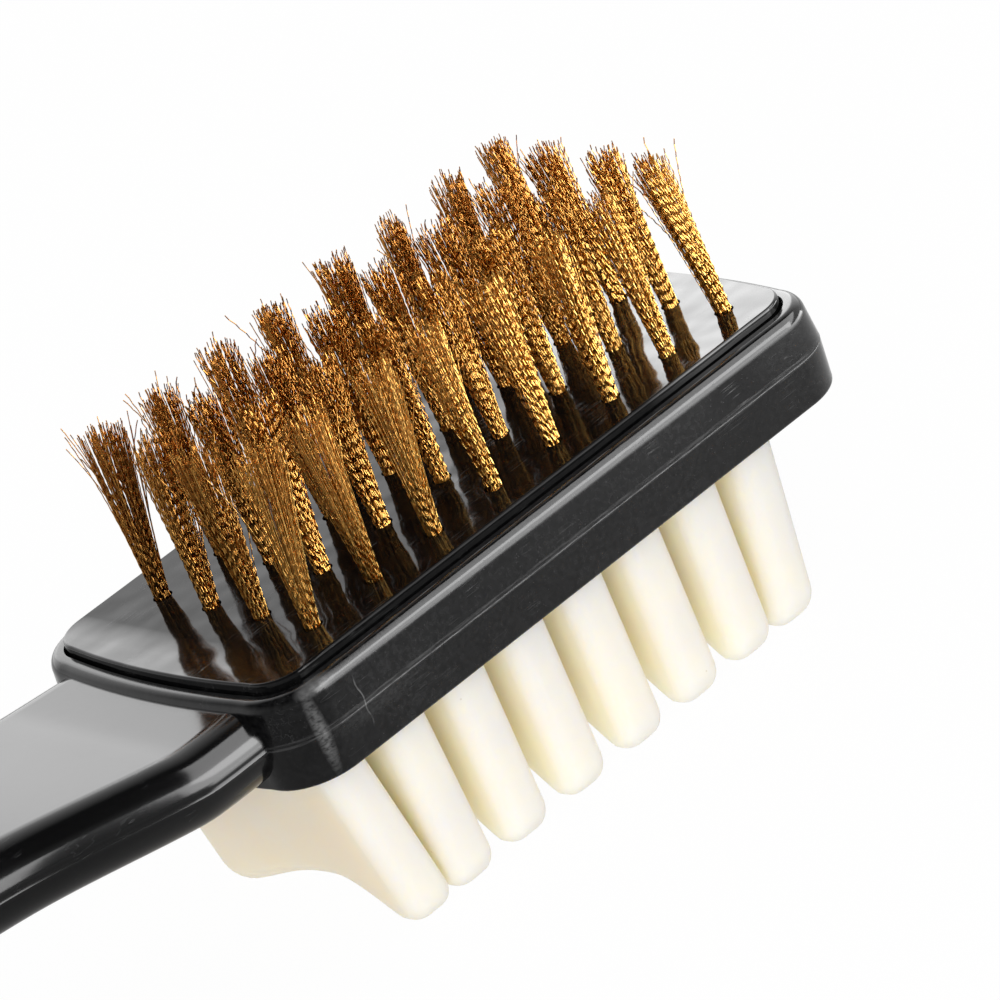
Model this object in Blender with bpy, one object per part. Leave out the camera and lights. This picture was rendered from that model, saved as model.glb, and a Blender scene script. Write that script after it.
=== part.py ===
# Two-sided shoe brush: brass tufts above, rubber ribs below, on one plastic handle
"""Builds every piece of a two-sided shoe brush as its own closed solid.

The brush lies along X, with the handle at -X and the head's tip at +X. The brass
side faces +Z, and the rubber ribs stand on the plane z = 0. All sizes are metres.
"""

import math

import bmesh
import bpy
from mathutils import Vector

# overall
OVERALL_LENGTH = 0.1620
CLEARANCE = 0.0003
TIP_X = OVERALL_LENGTH / 2

# levels above the plane that the rubber stands on
RIB_REACH = 0.0192
HEAD_DEPTH = 0.0092
PLATE_PROUD = 0.0010
TUFT_HEIGHT = 0.0176
HEAD_BOTTOM = RIB_REACH
RIM_TOP = HEAD_BOTTOM + HEAD_DEPTH
PLATE_TOP = RIM_TOP + PLATE_PROUD

# head, seen from above a rounded rectangle with slightly bowed ends
HEAD_LENGTH = 0.0750
HEAD_WIDTH = 0.0401
HEAD_CORNER = 0.0062
END_BOW = 0.0009
HEAD_DRAFT = 0.0003
RIM_ROUND = 0.0014
RIM_LEDGE = 0.0006
RIM_STEPS = 3
LOWER_ROUND = 0.0004
HEAD_X = TIP_X - HEAD_LENGTH / 2
PARTING_SHARE = 0.50
CORNER_STEPS = 5
BOW_STEPS = 4

# brush plate, an insert in the head's upper recess, above a web of the moulding
WEB_THICKNESS = 0.0017
RUBBER_BASE = 0.0023
PLATE_THICKNESS = PLATE_TOP - HEAD_BOTTOM - WEB_THICKNESS - RUBBER_BASE - 2 * CLEARANCE
PLATE_EDGE_ROUND = 0.0003
PLATE_INSET = RIM_ROUND + RIM_LEDGE + CLEARANCE

# grid of tufts, set by the margins between its outer centres and the head's sides
COLUMNS = 8
ROWS = 4
TUFT_ROOT_MARGIN = 0.0126
TUFT_TIP_MARGIN = 0.0078
TUFT_NEAR_MARGIN = 0.00745
TUFT_FAR_MARGIN = 0.00925
FIRST_COLUMN_X = TIP_X - HEAD_LENGTH + TUFT_ROOT_MARGIN
LAST_COLUMN_X = TIP_X - TUFT_TIP_MARGIN
FIRST_ROW_Y = TUFT_NEAR_MARGIN - HEAD_WIDTH / 2
LAST_ROW_Y = HEAD_WIDTH / 2 - TUFT_FAR_MARGIN
HOLE_RADIUS = 0.0014
HOLE_SIDES = 12

# one tuft: a foot in its hole, with strands that fan out above it
FOOT_RADIUS = HOLE_RADIUS - CLEARANCE
FOOT_SUNK = 0.0004
STRAND_INSET = 0.00009
STRAND_TAPER_SHARE = 1.30
FAN_SHARE = 2.05
LATTICE_RINGS = 2
END_LEAN = 0.0013

# wire drawn through the feet of one row, in a groove under the plate
DRAWN_RADIUS = 0.00028
DRAWN_SIDES = 10
DRAWN_OVERHANG = 0.0030
SLOT_WIDTH = 2 * (DRAWN_RADIUS + CLEARANCE)
SLOT_HEIGHT = 2 * DRAWN_RADIUS + CLEARANCE

# rubber block in the head's lower recess, set by its ribs' margins to the head's sides
RIBS = 8
RIB_THICKNESS_SHARE = 2 / 3
RIB_ROOT_MARGIN = 0.0045
RIB_TIP_MARGIN = 0.0107
RIB_NEAR_MARGIN = 0.00295
RIB_FAR_MARGIN = 0.00645
RIBBED_LENGTH = HEAD_LENGTH - RIB_ROOT_MARGIN - RIB_TIP_MARGIN
RIB_PITCH = RIBBED_LENGTH / (RIBS - 1 + RIB_THICKNESS_SHARE)
RIB_THICKNESS = RIB_PITCH * RIB_THICKNESS_SHARE
FIRST_RIB_X = TIP_X - HEAD_LENGTH + RIB_ROOT_MARGIN + RIB_THICKNESS / 2
LAST_RIB_X = TIP_X - RIB_TIP_MARGIN - RIB_THICKNESS / 2
RIB_NEAR_Y = RIB_NEAR_MARGIN - HEAD_WIDTH / 2
RIB_FAR_Y = HEAD_WIDTH / 2 - RIB_FAR_MARGIN
RIB_FLAT = 0.0016
TIP_ROUND = 0.0026
TIP_FLAT = 0.0008
ARCH_HEIGHT = 0.0041
ARCH_NEAR_SHARE = 0.28
ARCH_POWER = 1.2
ARCH_STEPS = 6
TIP_STEPS = 3
NOSE_STEPS = 2
LEAN_SHARES = (0.40, 0.0875, 0.0, 0.0, 0.0, 0.0, -0.075, -0.3125)
RUBBER_BASE_MARGIN = 0.0010
RUBBER_BASE_CORNER = 0.0030

# handle, whose rings run from inside the head to the far end
HANDLE_SIDE_STEP = 0.0036
HANDLE_TOP_STEP = 0.0009
HANDLE_LOWER_STEP = 0.0009
HANDLE_HALF_WIDTH = HEAD_WIDTH / 2 - HANDLE_SIDE_STEP
HANDLE_DEPTH = HEAD_DEPTH - HANDLE_TOP_STEP - HANDLE_LOWER_STEP
HANDLE_LENGTH = OVERALL_LENGTH - HEAD_LENGTH
HANDLE_ROOT = 0.0036
HANDLE_LIFT = 0.0036
SHOULDER_ROUND_SHARE = 0.54
SIDE_STEPS = 4
HANDLE_STEPS = 16
END_STEPS = 6
END_START_SHARE = 0.875
END_WIDTH_SHARE = 0.12
END_DEPTH_SHARE = 0.45
STATION_SHARES = (0.0, 0.095, 0.125, 0.30, 0.46, 0.62, 0.76, 0.90, 1.0)
WIDTH_SHARES = (0.955, 1.0, 0.990, 0.805, 0.735, 0.72, 0.77, 0.79, 0.77)
LIFT_SHARES = (0.0, 0.11, 0.19, 0.66, 0.90, 1.0, 0.96, 0.80, 0.70)
DEPTH_SHARES = (1.0, 1.0, 1.005, 1.05, 1.12, 1.18, 1.20, 1.16, 1.10)


def clear_scene():
    """Removes every object that the scene starts with."""
    for old in list(bpy.data.objects):
        bpy.data.objects.remove(old, do_unlink=True)


def simple_material(name, colour, roughness, metallic=0.0):
    """Returns a plain surface for one kind of material."""
    material = bpy.data.materials.new(name)
    material.use_nodes = True
    shader = material.node_tree.nodes["Principled BSDF"]
    shader.inputs["Base Color"].default_value = (*colour, 1.0)
    shader.inputs["Roughness"].default_value = roughness
    shader.inputs["Metallic"].default_value = metallic
    return material


def object_from(name, builder, material):
    """Turns a filled bmesh into a named object with one material."""
    bmesh.ops.recalc_face_normals(builder, faces=builder.faces)
    mesh = bpy.data.meshes.new(name)
    builder.to_mesh(mesh)
    builder.free()
    made = bpy.data.objects.new(name, mesh)
    made.data.materials.append(material)
    bpy.context.scene.collection.objects.link(made)
    return made


def loft(builder, rings):
    """Joins rings of equally many points with faces and closes both ends."""
    made = [[builder.verts.new(point) for point in ring] for ring in rings]
    count = len(made[0])
    for lower, upper in zip(made, made[1:]):
        for i in range(count):
            j = (i + 1) % count
            builder.faces.new((lower[i], lower[j], upper[j], upper[i]))
    builder.faces.new(made[0])
    builder.faces.new(made[-1])


def boolean(target, other, operation):
    """Applies one exact Boolean to the target and removes the other object."""
    bpy.context.view_layer.update()
    modifier = target.modifiers.new("cut", "BOOLEAN")
    modifier.operation = operation
    modifier.solver = "EXACT"
    modifier.object = other
    graph = bpy.context.evaluated_depsgraph_get()
    result = bpy.data.meshes.new_from_object(target.evaluated_get(graph))
    target.modifiers.remove(modifier)
    target.data = result
    bpy.data.objects.remove(other, do_unlink=True)


def smooth(made, angle=math.radians(32)):
    """Shades an object smooth, with edges past the angle left sharp."""
    made.data.shade_smooth()
    made.data.set_sharp_from_angle(angle=angle)


def bowed_outline(length, width, corner, bow):
    """Returns a rounded rectangle whose two short ends bulge by the bow."""
    half_x = length / 2 - bow
    half_y = width / 2
    straight = half_y - corner
    points = []
    for turn in (-1, 1):
        for i in range(CORNER_STEPS):
            angle = math.pi / 2 * i / CORNER_STEPS
            x = half_x - corner + corner * math.sin(angle)
            y = -half_y + corner - corner * math.cos(angle)
            points.append((-turn * x, -turn * y))
        for i in range(BOW_STEPS):
            across = -1 + 2 * i / BOW_STEPS
            bulge = bow * (1 - across * across)
            points.append((-turn * (half_x + bulge), -turn * straight * across))
        for i in range(CORNER_STEPS):
            angle = math.pi / 2 * i / CORNER_STEPS
            x = half_x - corner + corner * math.cos(angle)
            y = half_y - corner + corner * math.sin(angle)
            points.append((-turn * x, -turn * y))
        points.append((-turn * (half_x - corner), -turn * half_y))
    return points


def head_ring(inset, z):
    """Returns the head's outline drawn in by the inset, at one level."""
    outline = bowed_outline(
        HEAD_LENGTH - 2 * inset,
        HEAD_WIDTH - 2 * inset,
        HEAD_CORNER - inset,
        END_BOW,
    )
    return [Vector((HEAD_X + x, y, z)) for x, y in outline]


def head_block():
    """Builds the solid head as one loft of outlines."""
    parting = HEAD_BOTTOM + HEAD_DEPTH * PARTING_SHARE
    rings = [
        head_ring(HEAD_DRAFT + LOWER_ROUND, HEAD_BOTTOM),
        head_ring(HEAD_DRAFT, HEAD_BOTTOM + LOWER_ROUND),
        head_ring(0.0, parting),
        head_ring(HEAD_DRAFT, RIM_TOP - RIM_ROUND),
    ]
    for i in range(1, RIM_STEPS + 1):
        angle = math.pi / 2 * i / RIM_STEPS
        inset = HEAD_DRAFT + (RIM_ROUND - HEAD_DRAFT) * (1 - math.cos(angle))
        rings.append(head_ring(inset, RIM_TOP - RIM_ROUND * (1 - math.sin(angle))))
    builder = bmesh.new()
    loft(builder, rings)
    return builder


def plate_pocket():
    """Builds the space of the upper recess, which the brush plate fills."""
    inset = PLATE_INSET - CLEARANCE
    builder = bmesh.new()
    loft(
        builder,
        [
            head_ring(inset, PLATE_TOP - PLATE_THICKNESS - CLEARANCE),
            head_ring(inset, PLATE_TOP),
        ],
    )
    return builder


def along(shares, place):
    """Reads a smooth curve through the shares at a place from 0 to 1."""
    last = len(STATION_SHARES) - 1
    i = 0
    while i < last - 1 and place > STATION_SHARES[i + 1]:
        i += 1
    span = STATION_SHARES[i + 1] - STATION_SHARES[i]
    t = (place - STATION_SHARES[i]) / span

    def slope(k):
        before, after = max(k - 1, 0), min(k + 1, last)
        run = STATION_SHARES[after] - STATION_SHARES[before]
        return (shares[after] - shares[before]) / run

    rise = shares[i + 1] - shares[i]
    start, end = slope(i) * span, slope(i + 1) * span
    return shares[i] + t * (start + t * (3 * rise - 2 * start - end + t * (start + end - 2 * rise)))


def handle_ring(place, shrink):
    """Returns one section of the handle, drawn in near the far end by shrink."""
    x = HEAD_X - HEAD_LENGTH / 2 + HANDLE_ROOT
    x -= place * (HANDLE_LENGTH + HANDLE_ROOT)
    half = HANDLE_HALF_WIDTH * along(WIDTH_SHARES, place) * shrink
    deep = HANDLE_DEPTH * along(DEPTH_SHARES, place)
    lift = HANDLE_LIFT * along(LIFT_SHARES, place)
    middle = RIM_TOP - HANDLE_TOP_STEP - HANDLE_DEPTH / 2 + lift
    deep *= END_DEPTH_SHARE + (1 - END_DEPTH_SHARE) * shrink
    side = min(deep * SHOULDER_ROUND_SHARE, half)
    points = []
    for turn in (1, -1):
        for i in range(2 * SIDE_STEPS + 1):
            angle = math.pi / 2 - math.pi * i / (2 * SIDE_STEPS)
            y = half - side + side * math.cos(angle)
            z = deep / 2 * math.sin(angle)
            points.append(Vector((x, turn * y, middle + turn * z)))
    return points


def handle_bar():
    """Builds the handle as a loft from inside the head to its rounded end."""
    rings = []
    for i in range(HANDLE_STEPS + 1):
        rings.append(handle_ring(END_START_SHARE * i / HANDLE_STEPS, 1.0))
    for i in range(1, END_STEPS + 1):
        angle = math.pi / 2 * i / END_STEPS
        place = END_START_SHARE + (1 - END_START_SHARE) * math.sin(angle)
        rings.append(handle_ring(place, max(math.cos(angle), END_WIDTH_SHARE)))
    builder = bmesh.new()
    loft(builder, rings)
    return builder


def rubber_outline(margin):
    """Returns the plan of the rubber block's base, grown by the margin."""
    length = RIBBED_LENGTH + 2 * RUBBER_BASE_MARGIN
    width = RIB_FAR_Y - RIB_NEAR_Y + 2 * RUBBER_BASE_MARGIN
    outline = bowed_outline(
        length + 2 * margin, width + 2 * margin, RUBBER_BASE_CORNER + margin, 0.0
    )
    middle_x = (LAST_RIB_X + FIRST_RIB_X) / 2
    middle_y = (RIB_FAR_Y + RIB_NEAR_Y) / 2
    return [(middle_x + x, middle_y + y) for x, y in outline]


def rubber_slab(margin, bottom, top):
    """Builds a slab on the plan of the rubber block's base."""
    outline = rubber_outline(margin)
    rings = [[Vector((x, y, z)) for x, y in outline] for z in (bottom, top)]
    builder = bmesh.new()
    loft(builder, rings)
    return builder


def handle_body(material):
    """Builds the moulding: head, handle and a recess on either side."""
    body = object_from("handle_body", head_block(), material)
    bar = object_from("bar", handle_bar(), material)
    boolean(body, bar, "UNION")
    boolean(body, object_from("upper_pocket", plate_pocket(), material), "DIFFERENCE")
    pocket = rubber_slab(
        CLEARANCE, HEAD_BOTTOM - RUBBER_BASE, HEAD_BOTTOM + RUBBER_BASE + CLEARANCE
    )
    boolean(body, object_from("lower_pocket", pocket, material), "DIFFERENCE")
    smooth(body)
    return body


def spread(first, last, count):
    """Returns places at even steps from the first to the last."""
    return [first + (last - first) * i / (count - 1) for i in range(count)]


def tuft_places():
    """Yields the row, the column and the centre of each tuft."""
    for row, y in enumerate(row_places()):
        for column, x in enumerate(spread(FIRST_COLUMN_X, LAST_COLUMN_X, COLUMNS)):
            yield row + 1, column + 1, x, y


def circle(radius, sides, x, y, z):
    """Returns a round of points at one level, with a flat side towards +X."""
    step = 2 * math.pi / sides
    return [
        Vector((x + radius * math.cos(step * i), y + radius * math.sin(step * i), z))
        for i in range(sides)
    ]


def box(builder, low, high):
    """Adds a box between two opposite corners."""
    corners = bmesh.ops.create_cube(builder, size=1.0)["verts"]
    middle = (Vector(low) + Vector(high)) / 2
    size = Vector(high) - Vector(low)
    for vertex in corners:
        vertex.co = middle + vertex.co * size


def row_reach():
    """Returns how far the drawn wires reach, from the first to the last column."""
    return FIRST_COLUMN_X - DRAWN_OVERHANG, LAST_COLUMN_X + DRAWN_OVERHANG


def row_places():
    """Returns the Y of each row of tufts."""
    return spread(FIRST_ROW_Y, LAST_ROW_Y, ROWS)


def brush_plate(material):
    """Builds the insert with a hole for each tuft and a groove under each row."""
    bottom = PLATE_TOP - PLATE_THICKNESS
    rings = [
        head_ring(PLATE_INSET, bottom),
        head_ring(PLATE_INSET, PLATE_TOP - PLATE_EDGE_ROUND),
        head_ring(PLATE_INSET + PLATE_EDGE_ROUND, PLATE_TOP),
    ]
    builder = bmesh.new()
    loft(builder, rings)
    plate = object_from("brush_plate", builder, material)
    grooves = bmesh.new()
    first, last = row_reach()
    for y in row_places():
        box(
            grooves,
            (first - CLEARANCE, y - SLOT_WIDTH / 2, bottom - SLOT_HEIGHT),
            (last + CLEARANCE, y + SLOT_WIDTH / 2, bottom + SLOT_HEIGHT),
        )
    boolean(plate, object_from("grooves", grooves, material), "DIFFERENCE")
    drills = bmesh.new()
    for _, _, x, y in tuft_places():
        loft(
            drills,
            [
                circle(HOLE_RADIUS, HOLE_SIDES, x, y, bottom - PLATE_THICKNESS),
                circle(HOLE_RADIUS, HOLE_SIDES, x, y, PLATE_TOP + PLATE_THICKNESS),
            ],
        )
    boolean(plate, object_from("drills", drills, material), "DIFFERENCE")
    smooth(plate)
    return plate


def foot_lattice(builder, radius, z):
    """Fills a round of twelve sides with triangles."""
    step = radius / LATTICE_RINGS
    rows = {}
    for i in range(-LATTICE_RINGS, LATTICE_RINGS + 1):
        for j in range(-LATTICE_RINGS, LATTICE_RINGS + 1):
            if abs(i + j) <= LATTICE_RINGS:
                flat = Vector((i + j / 2, j * math.sqrt(3) / 2, 0))
                reach = flat.length * step
                if max(abs(i), abs(j), abs(i + j)) == LATTICE_RINGS:
                    flat = flat * (radius / reach)
                rows[i, j] = builder.verts.new(
                    Vector((flat.x * step, flat.y * step, z))
                )
    for i, j in rows:
        east, north = (i + 1, j), (i, j + 1)
        if east in rows and north in rows:
            builder.faces.new((rows[i, j], rows[east], rows[north]))
            corner = (i + 1, j + 1)
            if corner in rows:
                builder.faces.new((rows[east], rows[corner], rows[north]))


def tuft_mesh(material):
    """Builds one tuft at the origin: a slotted foot with strands that fan out."""
    foot_bottom = PLATE_TOP - PLATE_THICKNESS
    foot_top = PLATE_TOP - FOOT_SUNK
    tip = PLATE_TOP + TUFT_HEIGHT
    builder = bmesh.new()
    foot_lattice(builder, FOOT_RADIUS, foot_top)
    rim = [edge for edge in builder.edges if edge.is_boundary]
    grown = bmesh.ops.extrude_edge_only(builder, edges=rim)["geom"]
    lower = [item for item in grown if isinstance(item, bmesh.types.BMVert)]
    for vertex in lower:
        vertex.co.z = foot_bottom
    edges = [edge for edge in builder.edges if edge.is_boundary]
    bmesh.ops.contextual_create(builder, geom=edges)
    foot = object_from("foot", builder, material)
    slot = bmesh.new()
    reach = 2 * FOOT_RADIUS
    box(
        slot,
        (-reach, -SLOT_WIDTH / 2, foot_bottom - SLOT_HEIGHT),
        (reach, SLOT_WIDTH / 2, foot_bottom + SLOT_HEIGHT),
    )
    boolean(foot, object_from("slot", slot, material), "DIFFERENCE")
    builder = bmesh.new()
    builder.from_mesh(foot.data)
    bpy.data.objects.remove(foot, do_unlink=True)
    tops = [
        face
        for face in builder.faces
        if face.calc_center_median().z > foot_top - CLEARANCE
    ]
    strands = [face for face in tops if points_up(face)]
    bmesh.ops.inset_individual(builder, faces=strands, thickness=STRAND_INSET)
    grown = bmesh.ops.extrude_discrete_faces(builder, faces=strands)["faces"]
    for face in grown:
        middle = face.calc_center_median()
        target = Vector((middle.x * FAN_SHARE, middle.y * FAN_SHARE, tip))
        for vertex in face.verts:
            vertex.co = target + (vertex.co - middle) * STRAND_TAPER_SHARE
    return builder


def points_up(face):
    """Tells whether a triangle of the lattice points towards +Y."""
    middle = face.calc_center_median()
    above = [vertex for vertex in face.verts if vertex.co.y > middle.y]
    return len(above) == 1


def tufts(material):
    """Places one tuft in each hole, the outer ones leaning inwards at their tips."""
    upright = object_from("upright", tuft_mesh(material), material)
    shape = upright.data
    bpy.data.objects.remove(upright, do_unlink=True)
    for row, column, x, y in tuft_places():
        name = f"brass_tuft_r{row}_c{column}"
        leaning = shape.copy()
        outward = (2 * x - LAST_COLUMN_X - FIRST_COLUMN_X) / (LAST_COLUMN_X - FIRST_COLUMN_X)
        for vertex in leaning.vertices:
            if vertex.co.z > PLATE_TOP:
                vertex.co.x -= END_LEAN * outward**3
        made = bpy.data.objects.new(name, leaning)
        made.location = (x, y, 0)
        bpy.context.scene.collection.objects.link(made)


def drawn_wires(material):
    """Builds the wires that hold the folded tufts, one under each row."""
    first, last = row_reach()
    z = PLATE_TOP - PLATE_THICKNESS + DRAWN_RADIUS
    for row, y in enumerate(row_places()):
        step = 2 * math.pi / DRAWN_SIDES
        rings = []
        for x in (first, last):
            ring = []
            for i in range(DRAWN_SIDES):
                across = DRAWN_RADIUS * math.cos(step * i)
                up = DRAWN_RADIUS * math.sin(step * i)
                ring.append(Vector((x, y + across, z + up)))
            rings.append(ring)
        builder = bmesh.new()
        loft(builder, rings)
        smooth(object_from(f"drawn_wire_row_{row + 1}", builder, material))


def arc(y, z, radius, start, end, steps):
    """Returns points of an arc in the YZ plane, both ends included."""
    points = []
    for i in range(steps + 1):
        angle = start + (end - start) * i / steps
        points.append((y + radius * math.cos(angle), z + radius * math.sin(angle)))
    return points


def rib_profile():
    """Returns the outline of a rib in the YZ plane, from its top round its tips."""
    top = HEAD_BOTTOM + RUBBER_BASE / 2
    near = RIB_NEAR_Y + TIP_ROUND
    far = RIB_FAR_Y - TIP_ROUND
    points = [(RIB_NEAR_Y, top)]
    points += arc(near, TIP_ROUND, TIP_ROUND, math.pi, 1.5 * math.pi, TIP_STEPS)
    start = near + TIP_FLAT
    end = far - TIP_FLAT
    peak = start + (end - start) * ARCH_NEAR_SHARE
    for i in range(ARCH_STEPS + 1):
        y = start + (end - start) * i / ARCH_STEPS
        reach = start if y < peak else end
        away = (y - peak) / (reach - peak)
        height = ARCH_HEIGHT * max(math.cos(math.pi / 2 * away), 0.0) ** ARCH_POWER
        points.append((y, height))
    points += arc(far, TIP_ROUND, TIP_ROUND, 1.5 * math.pi, 2 * math.pi, TIP_STEPS)
    points.append((RIB_FAR_Y, top))
    return points


def drawn_in(points, distance):
    """Returns a closed outline moved inwards, point by point, by the distance."""
    count = len(points)
    moved = []
    for i in range(count):
        before = Vector(points[i - 1])
        here = Vector(points[i])
        after = Vector(points[(i + 1) % count])
        first = (here - before).normalized()
        second = (after - here).normalized()
        normal = Vector((-first.y - second.y, first.x + second.x))
        length = normal.length
        moved.append(here + normal * (2 * distance / (length * length)))
    return moved


def rib(number):
    """Builds one rib as a loft across its thickness, with rounded noses."""
    profile = rib_profile()
    centre = spread(FIRST_RIB_X, LAST_RIB_X, RIBS)[number]
    half = RIB_THICKNESS / 2
    curve = half - RIB_FLAT / 2
    offsets = []
    for i in range(NOSE_STEPS + 1):
        angle = math.pi / 2 * i / NOSE_STEPS
        across = RIB_FLAT / 2 + curve * math.cos(angle)
        offsets.append((across, curve * (1 - math.sin(angle))))
    sides = [(-across, inset) for across, inset in offsets]
    sides += reversed(offsets)
    rings = []
    for x, inset in sides:
        ring = []
        for y, z in drawn_in(profile, inset):
            z = max(z, 0.0)
            lean = LEAN_SHARES[number] * RIB_PITCH * (1 - z / HEAD_BOTTOM)
            ring.append(Vector((centre + x + lean, y, z)))
        rings.append(ring)
    builder = bmesh.new()
    loft(builder, rings)
    return builder


def rubber_block(material):
    """Builds the rubber: a base in the head's recess with ribs across it."""
    slab = rubber_slab(0.0, HEAD_BOTTOM, HEAD_BOTTOM + RUBBER_BASE)
    block = object_from("rubber_block", slab, material)
    for number in range(RIBS):
        boolean(block, object_from("rib", rib(number), material), "UNION")
    smooth(block)
    return block


def main():
    """Builds every piece of the brush."""
    clear_scene()
    plastic = simple_material("black_plastic", (0.02, 0.02, 0.022), 0.25)
    plate_plastic = simple_material("plate_plastic", (0.025, 0.025, 0.027), 0.15)
    brass = simple_material("brass_wire", (0.60, 0.38, 0.12), 0.35, 1.0)
    steel = simple_material("steel_wire", (0.55, 0.54, 0.50), 0.40, 1.0)
    rubber = simple_material("cream_rubber", (0.90, 0.84, 0.70), 0.55)
    handle_body(plastic)
    brush_plate(plate_plastic)
    tufts(brass)
    drawn_wires(steel)
    rubber_block(rubber)


main()
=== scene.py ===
"""Looks of a two-sided shoe brush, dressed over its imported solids.

The brush lies along X, with the handle at -X and the head's tip at +X. The brass side faces +Z,
and the rubber ribs stand on the plane z = 0. All sizes are metres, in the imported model's frame.
"""

from __future__ import annotations

import logging
import math
from dataclasses import dataclass, field
from enum import Enum

import bmesh
import bpy
from mathutils import Matrix, Quaternion, Vector


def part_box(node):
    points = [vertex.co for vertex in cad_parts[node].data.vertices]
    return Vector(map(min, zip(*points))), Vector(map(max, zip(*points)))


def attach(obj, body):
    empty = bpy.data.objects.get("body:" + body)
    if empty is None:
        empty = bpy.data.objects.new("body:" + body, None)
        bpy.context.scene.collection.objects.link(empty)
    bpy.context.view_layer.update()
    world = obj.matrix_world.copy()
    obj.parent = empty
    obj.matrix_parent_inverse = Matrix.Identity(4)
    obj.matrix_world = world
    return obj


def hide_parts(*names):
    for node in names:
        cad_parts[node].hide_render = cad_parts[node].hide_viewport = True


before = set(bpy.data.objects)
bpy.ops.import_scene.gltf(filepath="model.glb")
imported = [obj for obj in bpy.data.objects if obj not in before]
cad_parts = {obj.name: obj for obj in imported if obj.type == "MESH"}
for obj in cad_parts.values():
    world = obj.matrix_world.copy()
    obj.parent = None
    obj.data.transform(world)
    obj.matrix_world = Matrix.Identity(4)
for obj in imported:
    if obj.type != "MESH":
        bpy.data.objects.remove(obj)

LOG = logging.getLogger("shoe_brush")
BODY = "root"
CLEARANCE = 0.0003
QUARTER = math.pi / 2
GOLDEN_ANGLE = math.pi * (3 - math.sqrt(5))
RISING = (0.0, 1.0)
FALLING = (1.0, 0.0)
UPWARDS = (0.0, 0.0, 1.0)
NOISE_MIDDLE = 0.5
WIRE_HABITS = ("root", "bend", "astray", "crimp", "wire_length", "slip")
TUFT_HABITS = ("lean", "splay", "tall", "fan", "uneven")
PASSING = (*WIRE_HABITS, *TUFT_HABITS, "rib_lean")

Colour = tuple[float, float, float]
Triplet = tuple[float, float, float]
Span = tuple[float, float]
Ring = list[Vector]


class Slot(Enum):
    """Material slots of the record."""

    HANDLE = "handle"
    PLATE = "plate"
    RUBBER = "rubber"
    BRASS = "brass"


class Combine(Enum):
    """Ways in which one solid changes another."""

    JOIN = "UNION"
    CUT = "DIFFERENCE"


class Draw(Enum):
    """Random draws of a wire, each kept apart from the others by its number."""

    ANGLE = 1
    JITTER_X = 2
    JITTER_Y = 3
    LOOSE = 4
    STRAY_X = 5
    STRAY_Y = 6
    SHORTER = 7
    CRIMP_TURN = 8
    CRIMP_SWING = 9
    TONE = 10
    SCATTER = 11
    HALF_WAVE = 12


class Term:
    """What a node gives, for later nodes to take in."""

    def __init__(self, graph: Graph, socket: bpy.types.NodeSocket) -> None:
        """Keeps the output, and the graph that later nodes are added to."""
        self.graph = graph
        self.socket = socket


class Number(Term):
    """A number that nodes work out. The signs of arithmetic add Math nodes."""

    def __add__(self, other: object) -> Number:
        """Returns the sum."""
        return self.graph.math("ADD", self, other)

    def __sub__(self, other: object) -> Number:
        """Returns the difference."""
        return self.graph.math("SUBTRACT", self, other)

    def __rsub__(self, other: object) -> Number:
        """Returns a plain number less this one."""
        return self.graph.math("SUBTRACT", other, self)

    def __mul__(self, other: object) -> Number:
        """Returns the product."""
        return self.graph.math("MULTIPLY", self, other)

    def __truediv__(self, other: object) -> Number:
        """Returns the quotient."""
        return self.graph.math("DIVIDE", self, other)

    def __pow__(self, other: object) -> Number:
        """Returns the number raised to a power."""
        return self.graph.math("POWER", self, other)

    def __abs__(self) -> Number:
        """Returns the number without its sign."""
        return self.graph.math("ABSOLUTE", self)

    def __lt__(self, other: object) -> Number:
        """Returns 1 where the number is below the other, else 0."""
        return self.graph.math("LESS_THAN", self, other)

    def __gt__(self, other: object) -> Number:
        """Returns 1 where the number is above the other, else 0."""
        return self.graph.math("GREATER_THAN", self, other)

    def clamped(self) -> Number:
        """Returns the number held between 0 and 1."""
        return self.graph.call("ShaderNodeClamp", {"Value": self}, "Result")

    def spread(self, source: Span, target: Span = RISING) -> Number:
        """Returns the number mapped from one range to another, held inside the new range."""
        ends = dict(zip(("From Min", "From Max", "To Min", "To Max"), (*source, *target)))
        return self.graph.call("ShaderNodeMapRange", {"Value": self, **ends}, "Result")


class Triple(Term):
    """A place, an offset or a colour that nodes work out. The signs add Vector Math nodes."""

    def __add__(self, other: object) -> Triple:
        """Returns the sum."""
        return self.graph.vector("ADD", self, other)

    def __sub__(self, other: object) -> Triple:
        """Returns the difference."""
        return self.graph.vector("SUBTRACT", self, other)

    def __mul__(self, other: object) -> Triple:
        """Returns the product with one number, or with three, axis by axis."""
        return self.graph.vector("MULTIPLY" if isinstance(other, tuple) else "SCALE", self, other)

    def __truediv__(self, other: Triplet) -> Triple:
        """Returns the quotient, axis by axis."""
        return self.graph.vector("DIVIDE", self, other)

    def dot(self, other: Triplet) -> Number:
        """Returns the dot product."""
        return self.graph.vector("DOT_PRODUCT", self, other)

    def length(self) -> Number:
        """Returns the length."""
        return self.graph.vector("LENGTH", self)

    def parts(self) -> list[Number]:
        """Returns X, Y and Z."""
        made = self.graph.node("ShaderNodeSeparateXYZ", self)
        return [self.graph.term(socket) for socket in made.outputs]


TERMS = {"VALUE": Number, "INT": Number, "BOOLEAN": Number, "VECTOR": Triple, "RGBA": Triple}


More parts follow.
